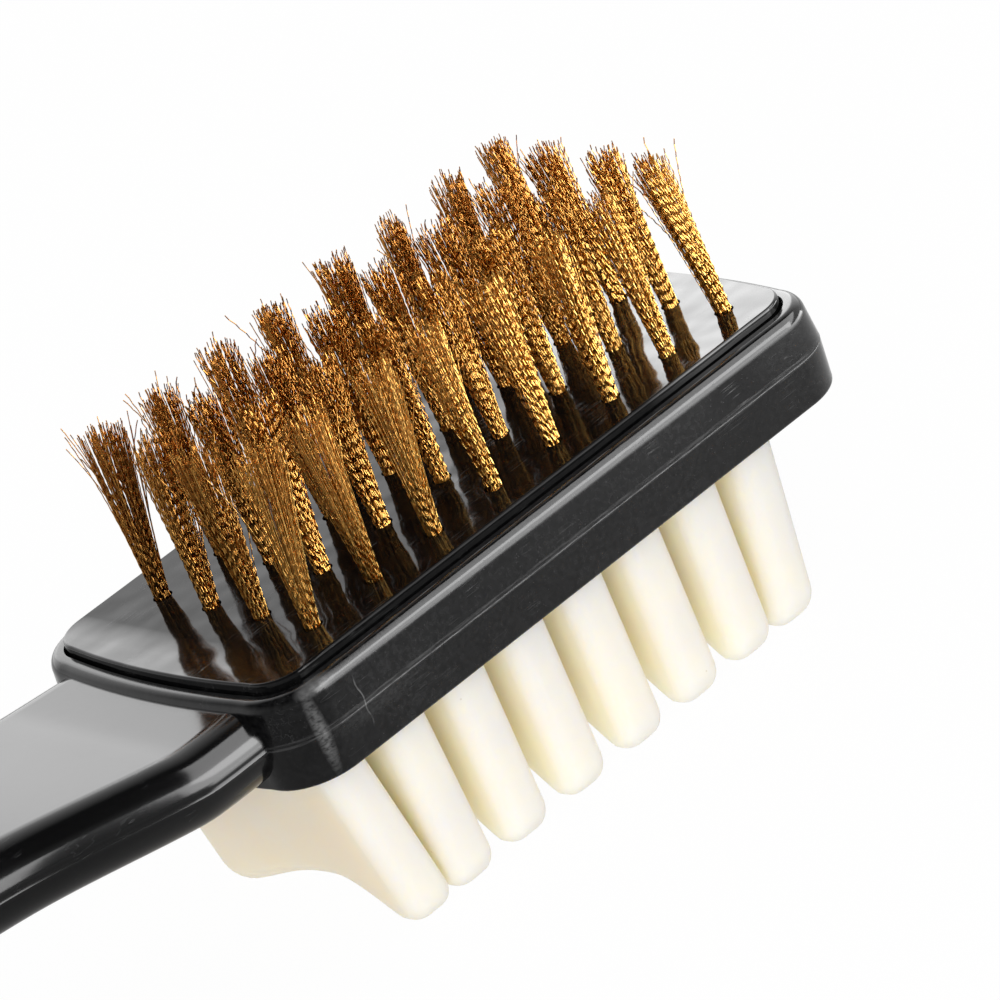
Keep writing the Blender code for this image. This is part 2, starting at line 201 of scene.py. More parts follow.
class Graph:
    """A node tree that is written as short calls."""

    def __init__(self, tree: bpy.types.NodeTree) -> None:
        """Keeps the tree that the calls add to."""
        self.tree = tree

    def node(self, kind: str, *values: object, **settings: object) -> bpy.types.Node:
        """Adds one node.

        Args:
            kind: Blender's name for the node type.
            values: what feeds its first inputs, in order.
            settings: properties of the node and their values.

        Returns:
            The new node.
        """
        made = self.tree.nodes.new(kind)
        for name, value in settings.items():
            setattr(made, name, value)
        for socket, value in zip(made.inputs, values):
            self.feed(socket, value)
        return made

    def term(self, socket: bpy.types.NodeSocket) -> Term:
        """Returns an output as a number, a triple or, for anything else, a plain term."""
        return TERMS.get(socket.type, Term)(self, socket)

    def feed(self, socket: bpy.types.NodeSocket, value: object) -> None:
        """Links a term to an input, or sets the input's own value.

        Args:
            socket: the input.
            value: a term, or a plain value.
        """
        if isinstance(value, Term):
            self.tree.links.new(value.socket, socket)
        else:
            socket.default_value = value

    def call(self, kind: str, inputs: dict[str, object], output: str, **settings: object) -> Term:
        """Adds a node, feeds its named inputs and returns one output.

        Args:
            kind: Blender's name for the node type.
            inputs: input names and what feeds them.
            output: the name of the output to return.
            settings: properties of the node and their values.

        Returns:
            The named output.
        """
        made = self.node(kind, **settings)
        for name, value in inputs.items():
            self.feed(made.inputs[name], value)
        return self.term(made.outputs[output])

    def outputs(self, kind: str) -> dict[str, Term]:
        """Adds a node that takes nothing in, and returns its outputs by name."""
        return {socket.name: self.term(socket) for socket in self.node(kind).outputs}

    def math(self, operation: str, *values: object) -> Number:
        """Returns the result of a Math node on the values."""
        return self.term(self.node("ShaderNodeMath", *values, operation=operation).outputs[0])

    def vector(self, operation: str, first: Triple, second: object = None) -> Term:
        """Adds a Vector Math node.

        Args:
            operation: the Vector Math operation.
            first: the triple that it works on.
            second: another triple, the number that scales the first, or nothing.

        Returns:
            The resulting triple, or the number for a length or a dot product.
        """
        made = self.node("ShaderNodeVectorMath", first, operation=operation)
        if second is not None:
            self.feed(made.inputs["Scale"] if operation == "SCALE" else made.inputs[1], second)
        return self.term(made.outputs["Value" if operation in ("LENGTH", "DOT_PRODUCT") else "Vector"])

    def combine(self, x: object, y: object, z: object) -> Triple:
        """Returns a triple made of three values."""
        return self.call("ShaderNodeCombineXYZ", {"X": x, "Y": y, "Z": z}, "Vector")

    def polar(self, out: Number, angle: Number) -> Triple:
        """Returns the offset that lies a distance out, at an angle about Z."""
        return self.combine(out * self.math("COSINE", angle), out * self.math("SINE", angle), 0.0)

    def noise(self, place: Triple, scale: float, detail: float, output: str = "Fac") -> Term:
        """Returns noise read at a place, as a number or, from the Color output, a triple."""
        inputs = {"Vector": place, "Scale": scale, "Detail": detail}
        return self.call("ShaderNodeTexNoise", inputs, output)


class SurfaceGraph(Graph):
    """The node tree of one material, around one Principled shader."""

    def __init__(self, name: str) -> None:
        """Starts a material with its shader.

        Args:
            name: the material's name.
        """
        self.made = bpy.data.materials.new(name)
        self.made.use_nodes = True
        super().__init__(self.made.node_tree)
        self.shader = self.tree.nodes["Principled BSDF"]
        self.place = self.call("ShaderNodeTexCoord", {}, "Object")
        self.x, self.y, self.z = self.place.parts()

    def set(self, **values: object) -> None:
        """Sets or links inputs of the shader, named with _ for each space."""
        for name, value in values.items():
            self.feed(self.shader.inputs[name.replace("_", " ")], value)

    def blend(self, factor: Number, first: object, second: object) -> Triple:
        """Mixes two colours.

        Args:
            factor: how much of the second colour shows.
            first: the first colour, as a term or three numbers.
            second: the second colour, as a term or three numbers.

        Returns:
            The mixed colour.
        """
        made = self.node("ShaderNodeMix", factor, data_type="RGBA")
        colours = [socket for socket in made.inputs if socket.type == "RGBA"]
        for socket, colour in zip(colours, (first, second)):
            self.feed(socket, (*colour, 1.0) if isinstance(colour, tuple) else colour)
        return next(self.term(socket) for socket in made.outputs if socket.type == "RGBA")

    def mixed(self, factor: Number, first: Term, second: Term) -> Term:
        """Returns a mix of two shaders."""
        return self.term(self.node("ShaderNodeMixShader", factor, first, second).outputs[0])

    def cells(self, size: float) -> Number:
        """Returns the distance to the nearest of many scattered spots, in their own spacing."""
        return self.call("ShaderNodeTexVoronoi", {"Vector": self.place, "Scale": 1 / size}, "Distance")

    def attribute(self, name: str) -> Number:
        """Returns a named number that the mesh carries."""
        return self.call("ShaderNodeAttribute", {}, "Fac", attribute_name=name)

    def bump(self, height: Number, share: float, depth: float) -> None:
        """Raises the surface by a share of a height pattern, whose full range has a given depth."""
        inputs = {"Height": height, "Strength": share, "Distance": depth}
        self.set(Normal=self.call("ShaderNodeBump", inputs, "Normal"))


@dataclass(frozen=True)
class Pattern:
    """Patchy noise: its size, its detail, and the levels that a band of it is spread over."""

    size: float | Triplet
    detail: float
    band: Span = RISING
    levels: Span = RISING

    def raw(self, surface: SurfaceGraph) -> Number:
        """Returns the noise as it is.

        Args:
            surface: the material that it is on.

        Returns:
            The noise, round 0.5.
        """
        if isinstance(self.size, tuple):
            stretched = surface.place * tuple(1 / size for size in self.size)
            return surface.noise(stretched, 1.0, self.detail)
        return surface.noise(surface.place, 1 / self.size, self.detail)

    def on(self, surface: SurfaceGraph, levels: Span | None = None) -> Number:
        """Returns the noise with its band spread over its levels, or over the ones given."""
        return self.raw(surface).spread(self.band, levels or self.levels)


@dataclass(frozen=True)
class ScuffAndHighlight:
    """A lighter patch with soft edges on the head's near wall, broken up by noise, for painted highlights and
    scuffs.
    """

    along: float
    above: float
    reach: Triplet
    strength: float
    solid_share: float = 0.1
    core_share: float = 0.35
    breakup: Pattern = Pattern((0.0005, 0.0005, 0.00025), 4.0, (0.30, 0.60))

    def mask(self, surface: SurfaceGraph, corner: Triplet) -> Number:
        """Returns the patch's strength at its centre, falling to 0 at its reach.

        Args:
            surface: the material that the patch is on.
            corner: where the near wall meets the handle's end of the head, at the seam.

        Returns:
            The mask.
        """
        x, y, z = corner
        away = ((surface.place - (x + self.along, y, z + self.above)) / self.reach).length()
        broken_up = self.breakup.on(surface, (self.strength * self.solid_share, self.strength))
        return away.spread((self.core_share, 1.0), FALLING) * broken_up


@dataclass(frozen=True)
class Scratch:
    """A wavering scratch down the head's near wall."""

    along: float
    low: float
    high: float
    sway: float = 0.00009
    wave: float = 0.0024
    width: float = 0.00010
    core_share: float = 0.3
    full_share: float = 0.6
    breaks: Pattern = Pattern(0.0009, 2.0, (0.38, 0.60), (0.05, 0.4))

    def mask(self, surface: SurfaceGraph, corner: Triplet) -> Number:
        """Returns the scratch's strength along its line, and 0 away from it.

        Args:
            surface: the material that the scratch is on.
            corner: where the near wall meets the handle's end of the head, at the seam.

        Returns:
            The mask.
        """
        x, _, seam = corner
        half = (self.high - self.low) / 2
        turn = surface.math("SINE", surface.z * (2 * math.pi / self.wave))
        away = abs(surface.x - (turn * self.sway + (x + self.along)))
        line = away.spread((self.width * self.core_share, self.width), FALLING)
        ends = abs(surface.z - (seam + self.low + half))
        return line * ends.spread((half * self.full_share, half), FALLING) * self.breaks.on(surface)


@dataclass(frozen=True)
class MouldedPlastic:
    """Black glossy plastic, with specks and hair lines where it has been handled."""

    name: str
    corner: Triplet = (0.0, 0.0, 0.0)
    marks: tuple[ScuffAndHighlight | Scratch, ...] = ()
    colour: Colour = (0.0022, 0.0022, 0.0024)
    hazed_colour: Colour = (0.0150, 0.0150, 0.0155)
    wear_and_highlight_colour: Colour = (0.22, 0.22, 0.22)
    refraction: float = 1.38
    gloss: Span = (0.09, 0.15)
    worn_roughness: float = 0.3
    handled_x: Span = (0.004, 0.012)
    fresh_share: float = 0.1
    fresh_seam_share: float = 0.04
    flow: Pattern = Pattern(0.012, 3.0, (0.35, 0.65), (0.4, 1.0))
    gloss_band: Span = (0.3, 0.7)
    mottle: Pattern = Pattern(0.00050, 5.0, (0.36, 0.66))
    mottle_relief: float = 0.3
    ripple: Pattern = Pattern(0.0016, 2.0)
    ripple_relief: float = 0.25
    wave: Pattern = Pattern(0.0052, 1.0)
    wave_relief: float = 0.0
    relief_share: float = 0.35
    relief_depth: float = 0.00003
    speck_cell: float = 0.00040
    speck_share: float = 0.14
    speck_patches: Pattern = Pattern(0.005, 4.0, (0.42, 0.60))
    hair: Pattern = Pattern((0.020, 0.0006, 0.0006), 2.0)
    hair_width: float = 0.010
    hair_breaks: Pattern = Pattern(0.0035, 2.0, (0.55, 0.70))
    fine_level: float = 0.22
    seam_levels: tuple[float, ...] = ()
    seam_strengths: tuple[float, ...] = (0.45, 0.35)
    seam_reach: float = 0.00020
    seam_core_share: float = 0.2
    seam_rubbing: Pattern = Pattern((0.0022, 0.0022, 0.00012), 4.0, (0.38, 0.64), (0.05, 0.65))
    dulled_x: tuple[float, ...] = ()
    plain_shine: float = 0.5
    dulled_shine: float = 0.08

    def handled(self, surface: SurfaceGraph, fresh: float) -> Number:
        """Returns 1 where hands have been, and the fresh share elsewhere."""
        return surface.x.spread(self.handled_x, (fresh, 1.0))

    def specks(self, surface: SurfaceGraph) -> Number:
        """Returns small dots, thick in some areas and missing in others."""
        dots = surface.cells(self.speck_cell).spread((self.speck_share / 2, self.speck_share), FALLING)
        return dots * self.speck_patches.on(surface) * self.handled(surface, self.fresh_share)

    def hair_lines(self, surface: SurfaceGraph) -> Number:
        """Returns fine scratches along the handle, broken into short lengths."""
        lines = abs(self.hair.raw(surface) - NOISE_MIDDLE).spread((0.0, self.hair_width), FALLING)
        return lines * self.hair_breaks.on(surface)

    def seam(self, surface: SurfaceGraph, level: float) -> Number:
        """Returns one rubbed line that runs round the moulding.

        Args:
            surface: the material that the line is on.
            level: its height.

        Returns:
            The mask.
        """
        line = abs(surface.z - level)
        line = line.spread((self.seam_reach * self.seam_core_share, self.seam_reach), FALLING)
        return line * self.seam_rubbing.on(surface) * self.handled(surface, self.fresh_seam_share)

    def wear_and_highlights(self, surface: SurfaceGraph) -> Number:
        """Adds up every kind of wear on the moulding, and the painted highlights among its marks.

        Args:
            surface: the material that the marks are on.

        Returns:
            How strongly the lighter colour of wear and painted highlight shows, from 0 to 1.
        """
        wear_and_highlight = self.specks(surface) * self.fine_level + self.hair_lines(surface) * self.fine_level
        for level, strength in zip(self.seam_levels, self.seam_strengths):
            wear_and_highlight = wear_and_highlight + self.seam(surface, level) * strength
        for mark in self.marks:
            wear_and_highlight = wear_and_highlight + mark.mask(surface, self.corner)
        return wear_and_highlight.clamped()

    def material(self) -> bpy.types.Material:
        """Builds the plastic.

        Returns:
            The material.
        """
        surface = SurfaceGraph(self.name)
        # Real wear and painted highlights both show in the lighter colour.
        wear_and_highlight = self.wear_and_highlights(surface)
        flow, mottle = self.flow.raw(surface), self.mottle.raw(surface)
        handled = self.handled(surface, self.fresh_share)
        haze = mottle.spread(self.mottle.band) * handled * flow.spread(self.flow.band, self.flow.levels)
        body = surface.blend(haze, self.colour, self.hazed_colour)
        surface.set(
            Base_Color=surface.blend(wear_and_highlight, body, self.wear_and_highlight_colour),
            Roughness=flow.spread(self.gloss_band, self.gloss) + wear_and_highlight * self.worn_roughness,
            IOR=self.refraction,
        )
        if self.dulled_x:
            dulled = surface.x.spread(self.dulled_x[:2]) * surface.x.spread(self.dulled_x[2:], FALLING)
            shine = dulled.spread(RISING, (self.plain_shine, self.dulled_shine))
            surface.set(Specular_IOR_Level=shine)
        relief = self.ripple.raw(surface) * self.ripple_relief + wear_and_highlight
        relief = relief + mottle * handled * self.mottle_relief
        if self.wave_relief:
            relief = relief + self.wave.raw(surface) * self.wave_relief
        surface.bump(relief, self.relief_share, self.relief_depth)
        return surface.made


@dataclass(frozen=True)
class CrimpedBrass:
    """Brass wire, gold where it is bright and browner towards its tips, in patches, towards the far rows and
    towards the handle end.
    """

    near_y: float
    far_y: float
    root_x: float
    tip_x: float
    name: str = "crimped_brass"
    bright: Colour = (0.89, 0.57, 0.17)
    dull: Colour = (0.72, 0.39, 0.095)
    deep_brown: Colour = (0.56, 0.255, 0.06)
    grazing: Colour = (1.0, 0.80, 0.50)
    patches: Pattern = Pattern(0.0022, 3.0, (0.3, 0.7), (0.16, 0.32))
    patch_share: float = 0.5
    tone_share: float = 0.65
    dull_band: Span = (0.25, 0.80)
    end_share: float = 0.45
    across_shares: Span = (0.0, 0.65)
    along_shares: Span = (0.28, 0.08)
    brown_band: Span = (0.50, 1.35)
    brownest: float = 0.9
    drawn: Pattern = Pattern(0.00012, 1.0)
    relief_share: float = 0.15
    relief_depth: float = 0.00001

    def material(self) -> bpy.types.Material:
        """Builds the wire's finish from the numbers that its mesh carries.

        Returns:
            The material.
        """
        surface = SurfaceGraph(self.name)
        patches = self.patches.raw(surface)
        patchy = patches * self.patch_share
        dulled = (surface.attribute("tone") * self.tone_share + patchy).spread(self.dull_band)
        wire = surface.blend(dulled, self.bright, self.dull)
        # Browner towards the far rows and towards the handle end, by place alone.
        away = surface.y.spread((self.near_y, self.far_y), self.across_shares)
        away = away + surface.x.spread((self.root_x, self.tip_x), self.along_shares)
        browned = surface.attribute("share") * self.end_share + patchy + away
        browned = browned.spread(self.brown_band, (0.0, self.brownest))
        surface.set(
            Base_Color=surface.blend(browned, wire, self.deep_brown),
            Metallic=1.0,
            Specular_Tint=(*self.grazing, 1.0),
            Roughness=patches.spread(self.patches.band, self.patches.levels),
        )
        surface.bump(self.drawn.raw(surface), self.relief_share, self.relief_depth)
        return surface.made


@dataclass(frozen=True)
class CreamRubber:
    """Soft moulded rubber, pale on the noses, with a warmer painted glow down the flanks and between the ribs
    and a painted shade on the first rib's end.
    """

    nose_y: float
    between_x: Span
    name: str = "cream_rubber"
    pale: Colour = (0.81, 0.775, 0.725)
    shaded: Colour = (0.90, 0.75, 0.57)
    painted_glow_colour: Colour = (1.0, 0.88, 0.66)
    dirt: Colour = (0.55, 0.45, 0.32)
    painted_glow_depth: float = 0.0030
    painted_glow: Span = (0.1, 0.8)
    clouds: Pattern = Pattern(0.007, 3.0, (0.3, 0.7), (-0.15, 0.15))
    roughness: Span = (0.42, 0.55)
    dirt_cell: float = 0.0035
    dirt_band: Span = (0.015, 0.035)
    dirt_levels: Span = (0.5, 0.0)
    glow_depth: float = 0.0076
    glow_colour: Colour = (1.0, 0.85, 0.55)
    grain: Pattern = Pattern(0.0004, 3.0)
    relief_share: float = 0.12
    relief_depth: float = 0.00005

    def material(self) -> bpy.types.Material:
        """Builds the rubber.

        Returns:
            The material.
        """
        surface = SurfaceGraph(self.name)
        clouds = self.clouds.raw(surface)
        # Painted glow: pale at the nose and deeper in colour further in, standing in for light that glows
        # through and between the ribs.
        painted_glow = (surface.y - self.nose_y).spread((0.0, self.painted_glow_depth), self.painted_glow)
        painted_glow = painted_glow + clouds.spread(self.clouds.band, self.clouds.levels)
        # Painted shade on the first rib's end, giving way to the painted glow between the ribs.
        flank = surface.blend(surface.x.spread(self.between_x), self.shaded, self.painted_glow_colour)
        body = surface.blend(painted_glow.clamped(), self.pale, flank)
        specks = surface.cells(self.dirt_cell).spread(self.dirt_band, self.dirt_levels)
        surface.set(
            Base_Color=surface.blend(specks, body, self.dirt),
            Roughness=clouds.spread(self.clouds.band, self.roughness),
            Subsurface_Weight=1.0,
            Subsurface_Radius=self.glow_colour,
            Subsurface_Scale=self.glow_depth,
        )
        surface.bump(self.grain.raw(surface), self.relief_share, self.relief_depth)
        return surface.made


@dataclass(frozen=True)
class DrawnSteel:
    """Steel wire with the long marks of the die that it was drawn through."""

    name: str = "drawn_steel"
    colour: Colour = (0.55, 0.54, 0.50)
    dark_share: float = 0.7
    marks: Pattern = Pattern((0.004, 0.00005, 0.00005), 2.0, (0.3, 0.7), (0.25, 0.45))
    relief_share: float = 0.2
    relief_depth: float = 0.00001

    def material(self) -> bpy.types.Material:
        """Builds the steel.

        Returns:
            The material.
        """
        surface = SurfaceGraph(self.name)
        marks = self.marks.raw(surface)
        dark = tuple(self.dark_share * part for part in self.colour)
        surface.set(
            Base_Color=surface.blend(marks, self.colour, dark),
            Metallic=1.0,
            Roughness=marks.spread(self.marks.band, self.marks.levels),
        )
        surface.bump(marks, self.relief_share, self.relief_depth)
        return surface.made


@dataclass(frozen=True)
class StudioFloor:
    """White floor that keeps a light shadow of the object.

    Mirrored rays find painted shade on its near left and a painted pool of lamp light on its near right, and
    it glows to light soft surfaces above it from below.
    """

    name: str = "studio_floor"
    colour: Colour = (0.95, 0.95, 0.95)
    shaded_colour: Colour = (0.36, 0.36, 0.36)
    roughness: float = 0.9
    shade_azimuth: float = math.radians(225)
    shade_reach: Span = (-0.03, 0.06)
    white_share: float = 0.97
    under_level: float = 0.80
    lamp_level: float = 9.0
    lamp_reach: Span = (0.17, 0.25)
    lamp_slope: Span = (0.46, 0.54)
    least_depth: float = 0.01

    def material(self) -> bpy.types.Material:
        """Builds the floor, open when it is seen from below.

        Returns:
            The material.
        """
        surface = SurfaceGraph(self.name)
        path = surface.outputs("ShaderNodeLightPath")
        shown, spread, mirrored = path["Is Camera Ray"], path["Is Diffuse Ray"], path["Is Glossy Ray"]
        towards = (math.cos(self.shade_azimuth), math.sin(self.shade_azimuth), 0.0)
        # Painted shade, seen only in mirrored rays.
        shaded = surface.place.dot(towards).spread(self.shade_reach) * mirrored
        surface.set(
            Base_Color=surface.blend(shaded, self.colour, self.shaded_colour),
            Roughness=self.roughness,
        )
        # Painted pool of lamp light, seen only in mirrored rays.
        slope = surface.x / surface.math("MAXIMUM", surface.y * -1.0, self.least_depth)
        by_lamp = mirrored * slope.spread(self.lamp_slope) * (surface.y < 0.0)
        by_lamp = by_lamp * surface.place.length().spread(self.lamp_reach)
        level = shown + mirrored * self.lamp_level + spread * self.under_level
        white = surface.call("ShaderNodeEmission", {"Strength": level}, "Emission")
        plain = surface.term(surface.shader.outputs["BSDF"])
        lit = surface.mixed(shown * self.white_share + by_lamp + spread, plain, white)
        below = surface.call("ShaderNodeNewGeometry", {}, "Backfacing")
        clear = surface.call("ShaderNodeBsdfTransparent", {}, "BSDF")
        output = surface.tree.nodes["Material Output"]
        surface.feed(output.inputs["Surface"], surface.mixed(below, lit, clear))
        return surface.made


def linked(name: str, mesh: bpy.types.Mesh) -> bpy.types.Object:
    """Puts a mesh in the scene as an object at the origin.

    Args:
        name: the object's name.
        mesh: its mesh, already in place.

    Returns:
        The new object.
    """
    made = bpy.data.objects.new(name, mesh)
    bpy.context.scene.collection.objects.link(made)
    return made


def loft(name: str, rings: list[Ring]) -> bpy.types.Object:
    """Joins rings of equally many points with faces and closes both ends.

    Args:
        name: the object's name.
        rings: the rings, in order.

    Returns:
        A closed object.
    """
    builder = bmesh.new()
    made = [[builder.verts.new(point) for point in ring] for ring in rings]
    count = len(made[0])
    for lower, upper in zip(made, made[1:]):
        for i in range(count):
            after = (i + 1) % count
            builder.faces.new((lower[i], lower[after], upper[after], upper[i]))
    builder.faces.new(made[0])
    builder.faces.new(made[-1])
    bmesh.ops.recalc_face_normals(builder, faces=builder.faces)
    mesh = bpy.data.meshes.new(name)
    builder.to_mesh(mesh)
    builder.free()
    return linked(name, mesh)


def evaluated_mesh(piece: bpy.types.Object) -> bpy.types.Mesh:
    """Keeps what an object's modifiers make.

    Args:
        piece: the object.

    Returns:
        A plain mesh.
    """
    bpy.context.view_layer.update()
    graph = bpy.context.evaluated_depsgraph_get()
    return bpy.data.meshes.new_from_object(piece.evaluated_get(graph))


def combined(target: bpy.types.Object, other: bpy.types.Object, way: Combine) -> None:
    """Changes one solid by another, which is then removed.

    Args:
        target: the solid that is changed.
        other: the solid that is joined to it or cut from it.
        way: how the two are combined.
    """
    modifier = target.modifiers.new("combine", "BOOLEAN")
    modifier.operation = way.value
    modifier.solver = "EXACT"
    modifier.object = other
    result = evaluated_mesh(target)
    target.modifiers.remove(modifier)
    target.data = result
    bpy.data.objects.remove(other, do_unlink=True)


def shaded(piece: bpy.types.Object, angle: float = math.radians(30)) -> None:
    """Shades a piece smooth, keeps its sharp edges and lets its flats stay flat.

    Args:
        piece: the piece to shade.
        angle: edges sharper than this stay sharp.
    """
    piece.data.shade_smooth()
    piece.data.set_sharp_from_angle(angle=angle)
    modifier = piece.modifiers.new("flats", "WEIGHTED_NORMAL")
    modifier.keep_sharp = True
    result = evaluated_mesh(piece)
    piece.modifiers.remove(modifier)
    piece.data = result


def dressed(piece: bpy.types.Object, material: bpy.types.Material, nodes: list[str]) -> None:
    """Gives a finished piece its material and its place in the frame.

    Args:
        piece: the finished piece.
        material: its only material.
        nodes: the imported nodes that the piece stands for.
    """
    piece.data.materials.clear()
    piece.data.materials.append(material)
    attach(piece, BODY)
    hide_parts(*nodes)
    LOG.info("%s: %d faces, for %s", piece.name, len(piece.data.polygons), ", ".join(nodes))


def even_places(first: float, last: float, count: int) -> list[float]:
    """Returns places at even steps from the first to the last."""
    return [first + (last - first) * i / (count - 1) for i in range(count)]


def quarter_turn(steps: int) -> list[float]:
    """Returns the angles from 0 to a quarter turn, at even steps."""
    return [QUARTER * i / steps for i in range(steps + 1)]


@dataclass
class HeadPlan:
    """The head's outline from above: a rounded rectangle with slightly bowed ends."""

    length: float = 0.0750
    corner: float = 0.0062
    end_bow: float = 0.0009
    corner_steps: int = 16
    bow_steps: int = 20
    tip_x: float = field(init=False)
    width: float = field(init=False)
    start_x: float = field(init=False)
    middle_x: float = field(init=False)

    def __post_init__(self) -> None:
        """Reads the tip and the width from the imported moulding."""
        _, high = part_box("handle_body")
        self.tip_x = high.x
        self.width = 2 * high.y
        self.start_x = self.tip_x - self.length
        self.middle_x = self.tip_x - self.length / 2

    def outline(self, length: float, width: float, corner: float, bow: float) -> list[Span]:
        """Draws a rounded rectangle round the origin.

        Args:
            length: its length along X.
            width: its width along Y.
            corner: the radius of its corners.
            bow: how far its short ends bulge.

        Returns:
            The outline's points, in order.
        """
        half_x, half_y = length / 2 - bow, width / 2
        along, across = half_x - corner, half_y - corner
        angles = quarter_turn(self.corner_steps)[:-1]
        points = []
        for turn in (-1, 1):
            for angle in angles:
                x, y = along + corner * math.sin(angle), across + corner * math.cos(angle)
                points.append((-turn * x, turn * y))
            for i in range(self.bow_steps):
                share = -1 + 2 * i / self.bow_steps
                points.append((-turn * (half_x + bow * (1 - share * share)), -turn * across * share))
            for angle in angles:
                x, y = along + corner * math.cos(angle), across + corner * math.sin(angle)
                points.append((-turn * x, -turn * y))
            points.append((-turn * along, -turn * half_y))
        return points

    def ring(self, inset: float, level: float) -> Ring:
        """Draws the head's outline at one level.

        Args:
            inset: how far it is drawn in.
            level: its height.

        Returns:
            The ring.
        """
        length, width = self.length - 2 * inset, self.width - 2 * inset
        points = self.outline(length, width, self.corner - inset, self.end_bow)
        return [Vector((self.middle_x + x, y, level)) for x, y in points]


@dataclass
class Levels:
    """Heights that the pieces share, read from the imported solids."""

    plate_proud: float = 0.0010
    head_bottom: float = field(init=False)
    rim_top: float = field(init=False)
    plate_top: float = field(init=False)
    plate_bottom: float = field(init=False)
    rubber_top: float = field(init=False)
    seam: float = field(init=False)

    def __post_init__(self) -> None:
        """Reads the levels, and sets the mould's parting line at the middle of the head."""
        self.head_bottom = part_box("handle_body")[0].z
        self.plate_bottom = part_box("brush_plate")[0].z
        self.plate_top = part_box("brush_plate")[1].z
        self.rim_top = self.plate_top - self.plate_proud
        self.rubber_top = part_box("rubber_block")[1].z
        self.seam = (self.head_bottom + self.rim_top) / 2


@dataclass
class RubberPlan:
    """Where the rubber's base and ribs lie under the head."""

    plan: HeadPlan
    ribs: int = 8
    thickness_share: float = 2 / 3
    root_margin: float = 0.0045
    tip_margin: float = 0.0107
    near_margin: float = 0.00295
    far_margin: float = 0.00645
    base_margin: float = 0.0010
    base_corner: float = 0.0030
    shaded_share: float = 0.7
    length: float = field(init=False)
    pitch: float = field(init=False)
    thickness: float = field(init=False)
    start_x: float = field(init=False)
    near_y: float = field(init=False)
    far_y: float = field(init=False)

    def __post_init__(self) -> None:
        """Works out where the ribs start, their step and how thick each is."""
        self.length = self.plan.length - self.root_margin - self.tip_margin
        self.pitch = self.length / (self.ribs - 1 + self.thickness_share)
        self.thickness = self.pitch * self.thickness_share
        self.start_x = self.plan.start_x + self.root_margin
        self.near_y = self.near_margin - self.plan.width / 2
        self.far_y = self.plan.width / 2 - self.far_margin

    @property
    def shade_ends(self) -> Span:
        """Returns the X range, at the first rib's far side, over which the painted shade gives way to the
        painted glow.
        """
        return self.start_x + self.shaded_share * self.thickness, self.start_x + self.thickness

    def ring(self, margin: float, level: float) -> Ring:
        """Draws the base's outline at one level.

        Args:
            margin: how far it is let out.
            level: its height.

        Returns:
            The ring.
        """
        let_out = 2 * (self.base_margin + margin)
        length, width = self.length + let_out, self.far_y - self.near_y + let_out
        points = self.plan.outline(length, width, self.base_corner + margin, 0.0)
        middle_x = self.start_x + self.length / 2
        middle_y = (self.near_y + self.far_y) / 2
        return [Vector((middle_x + x, middle_y + y, level)) for x, y in points]


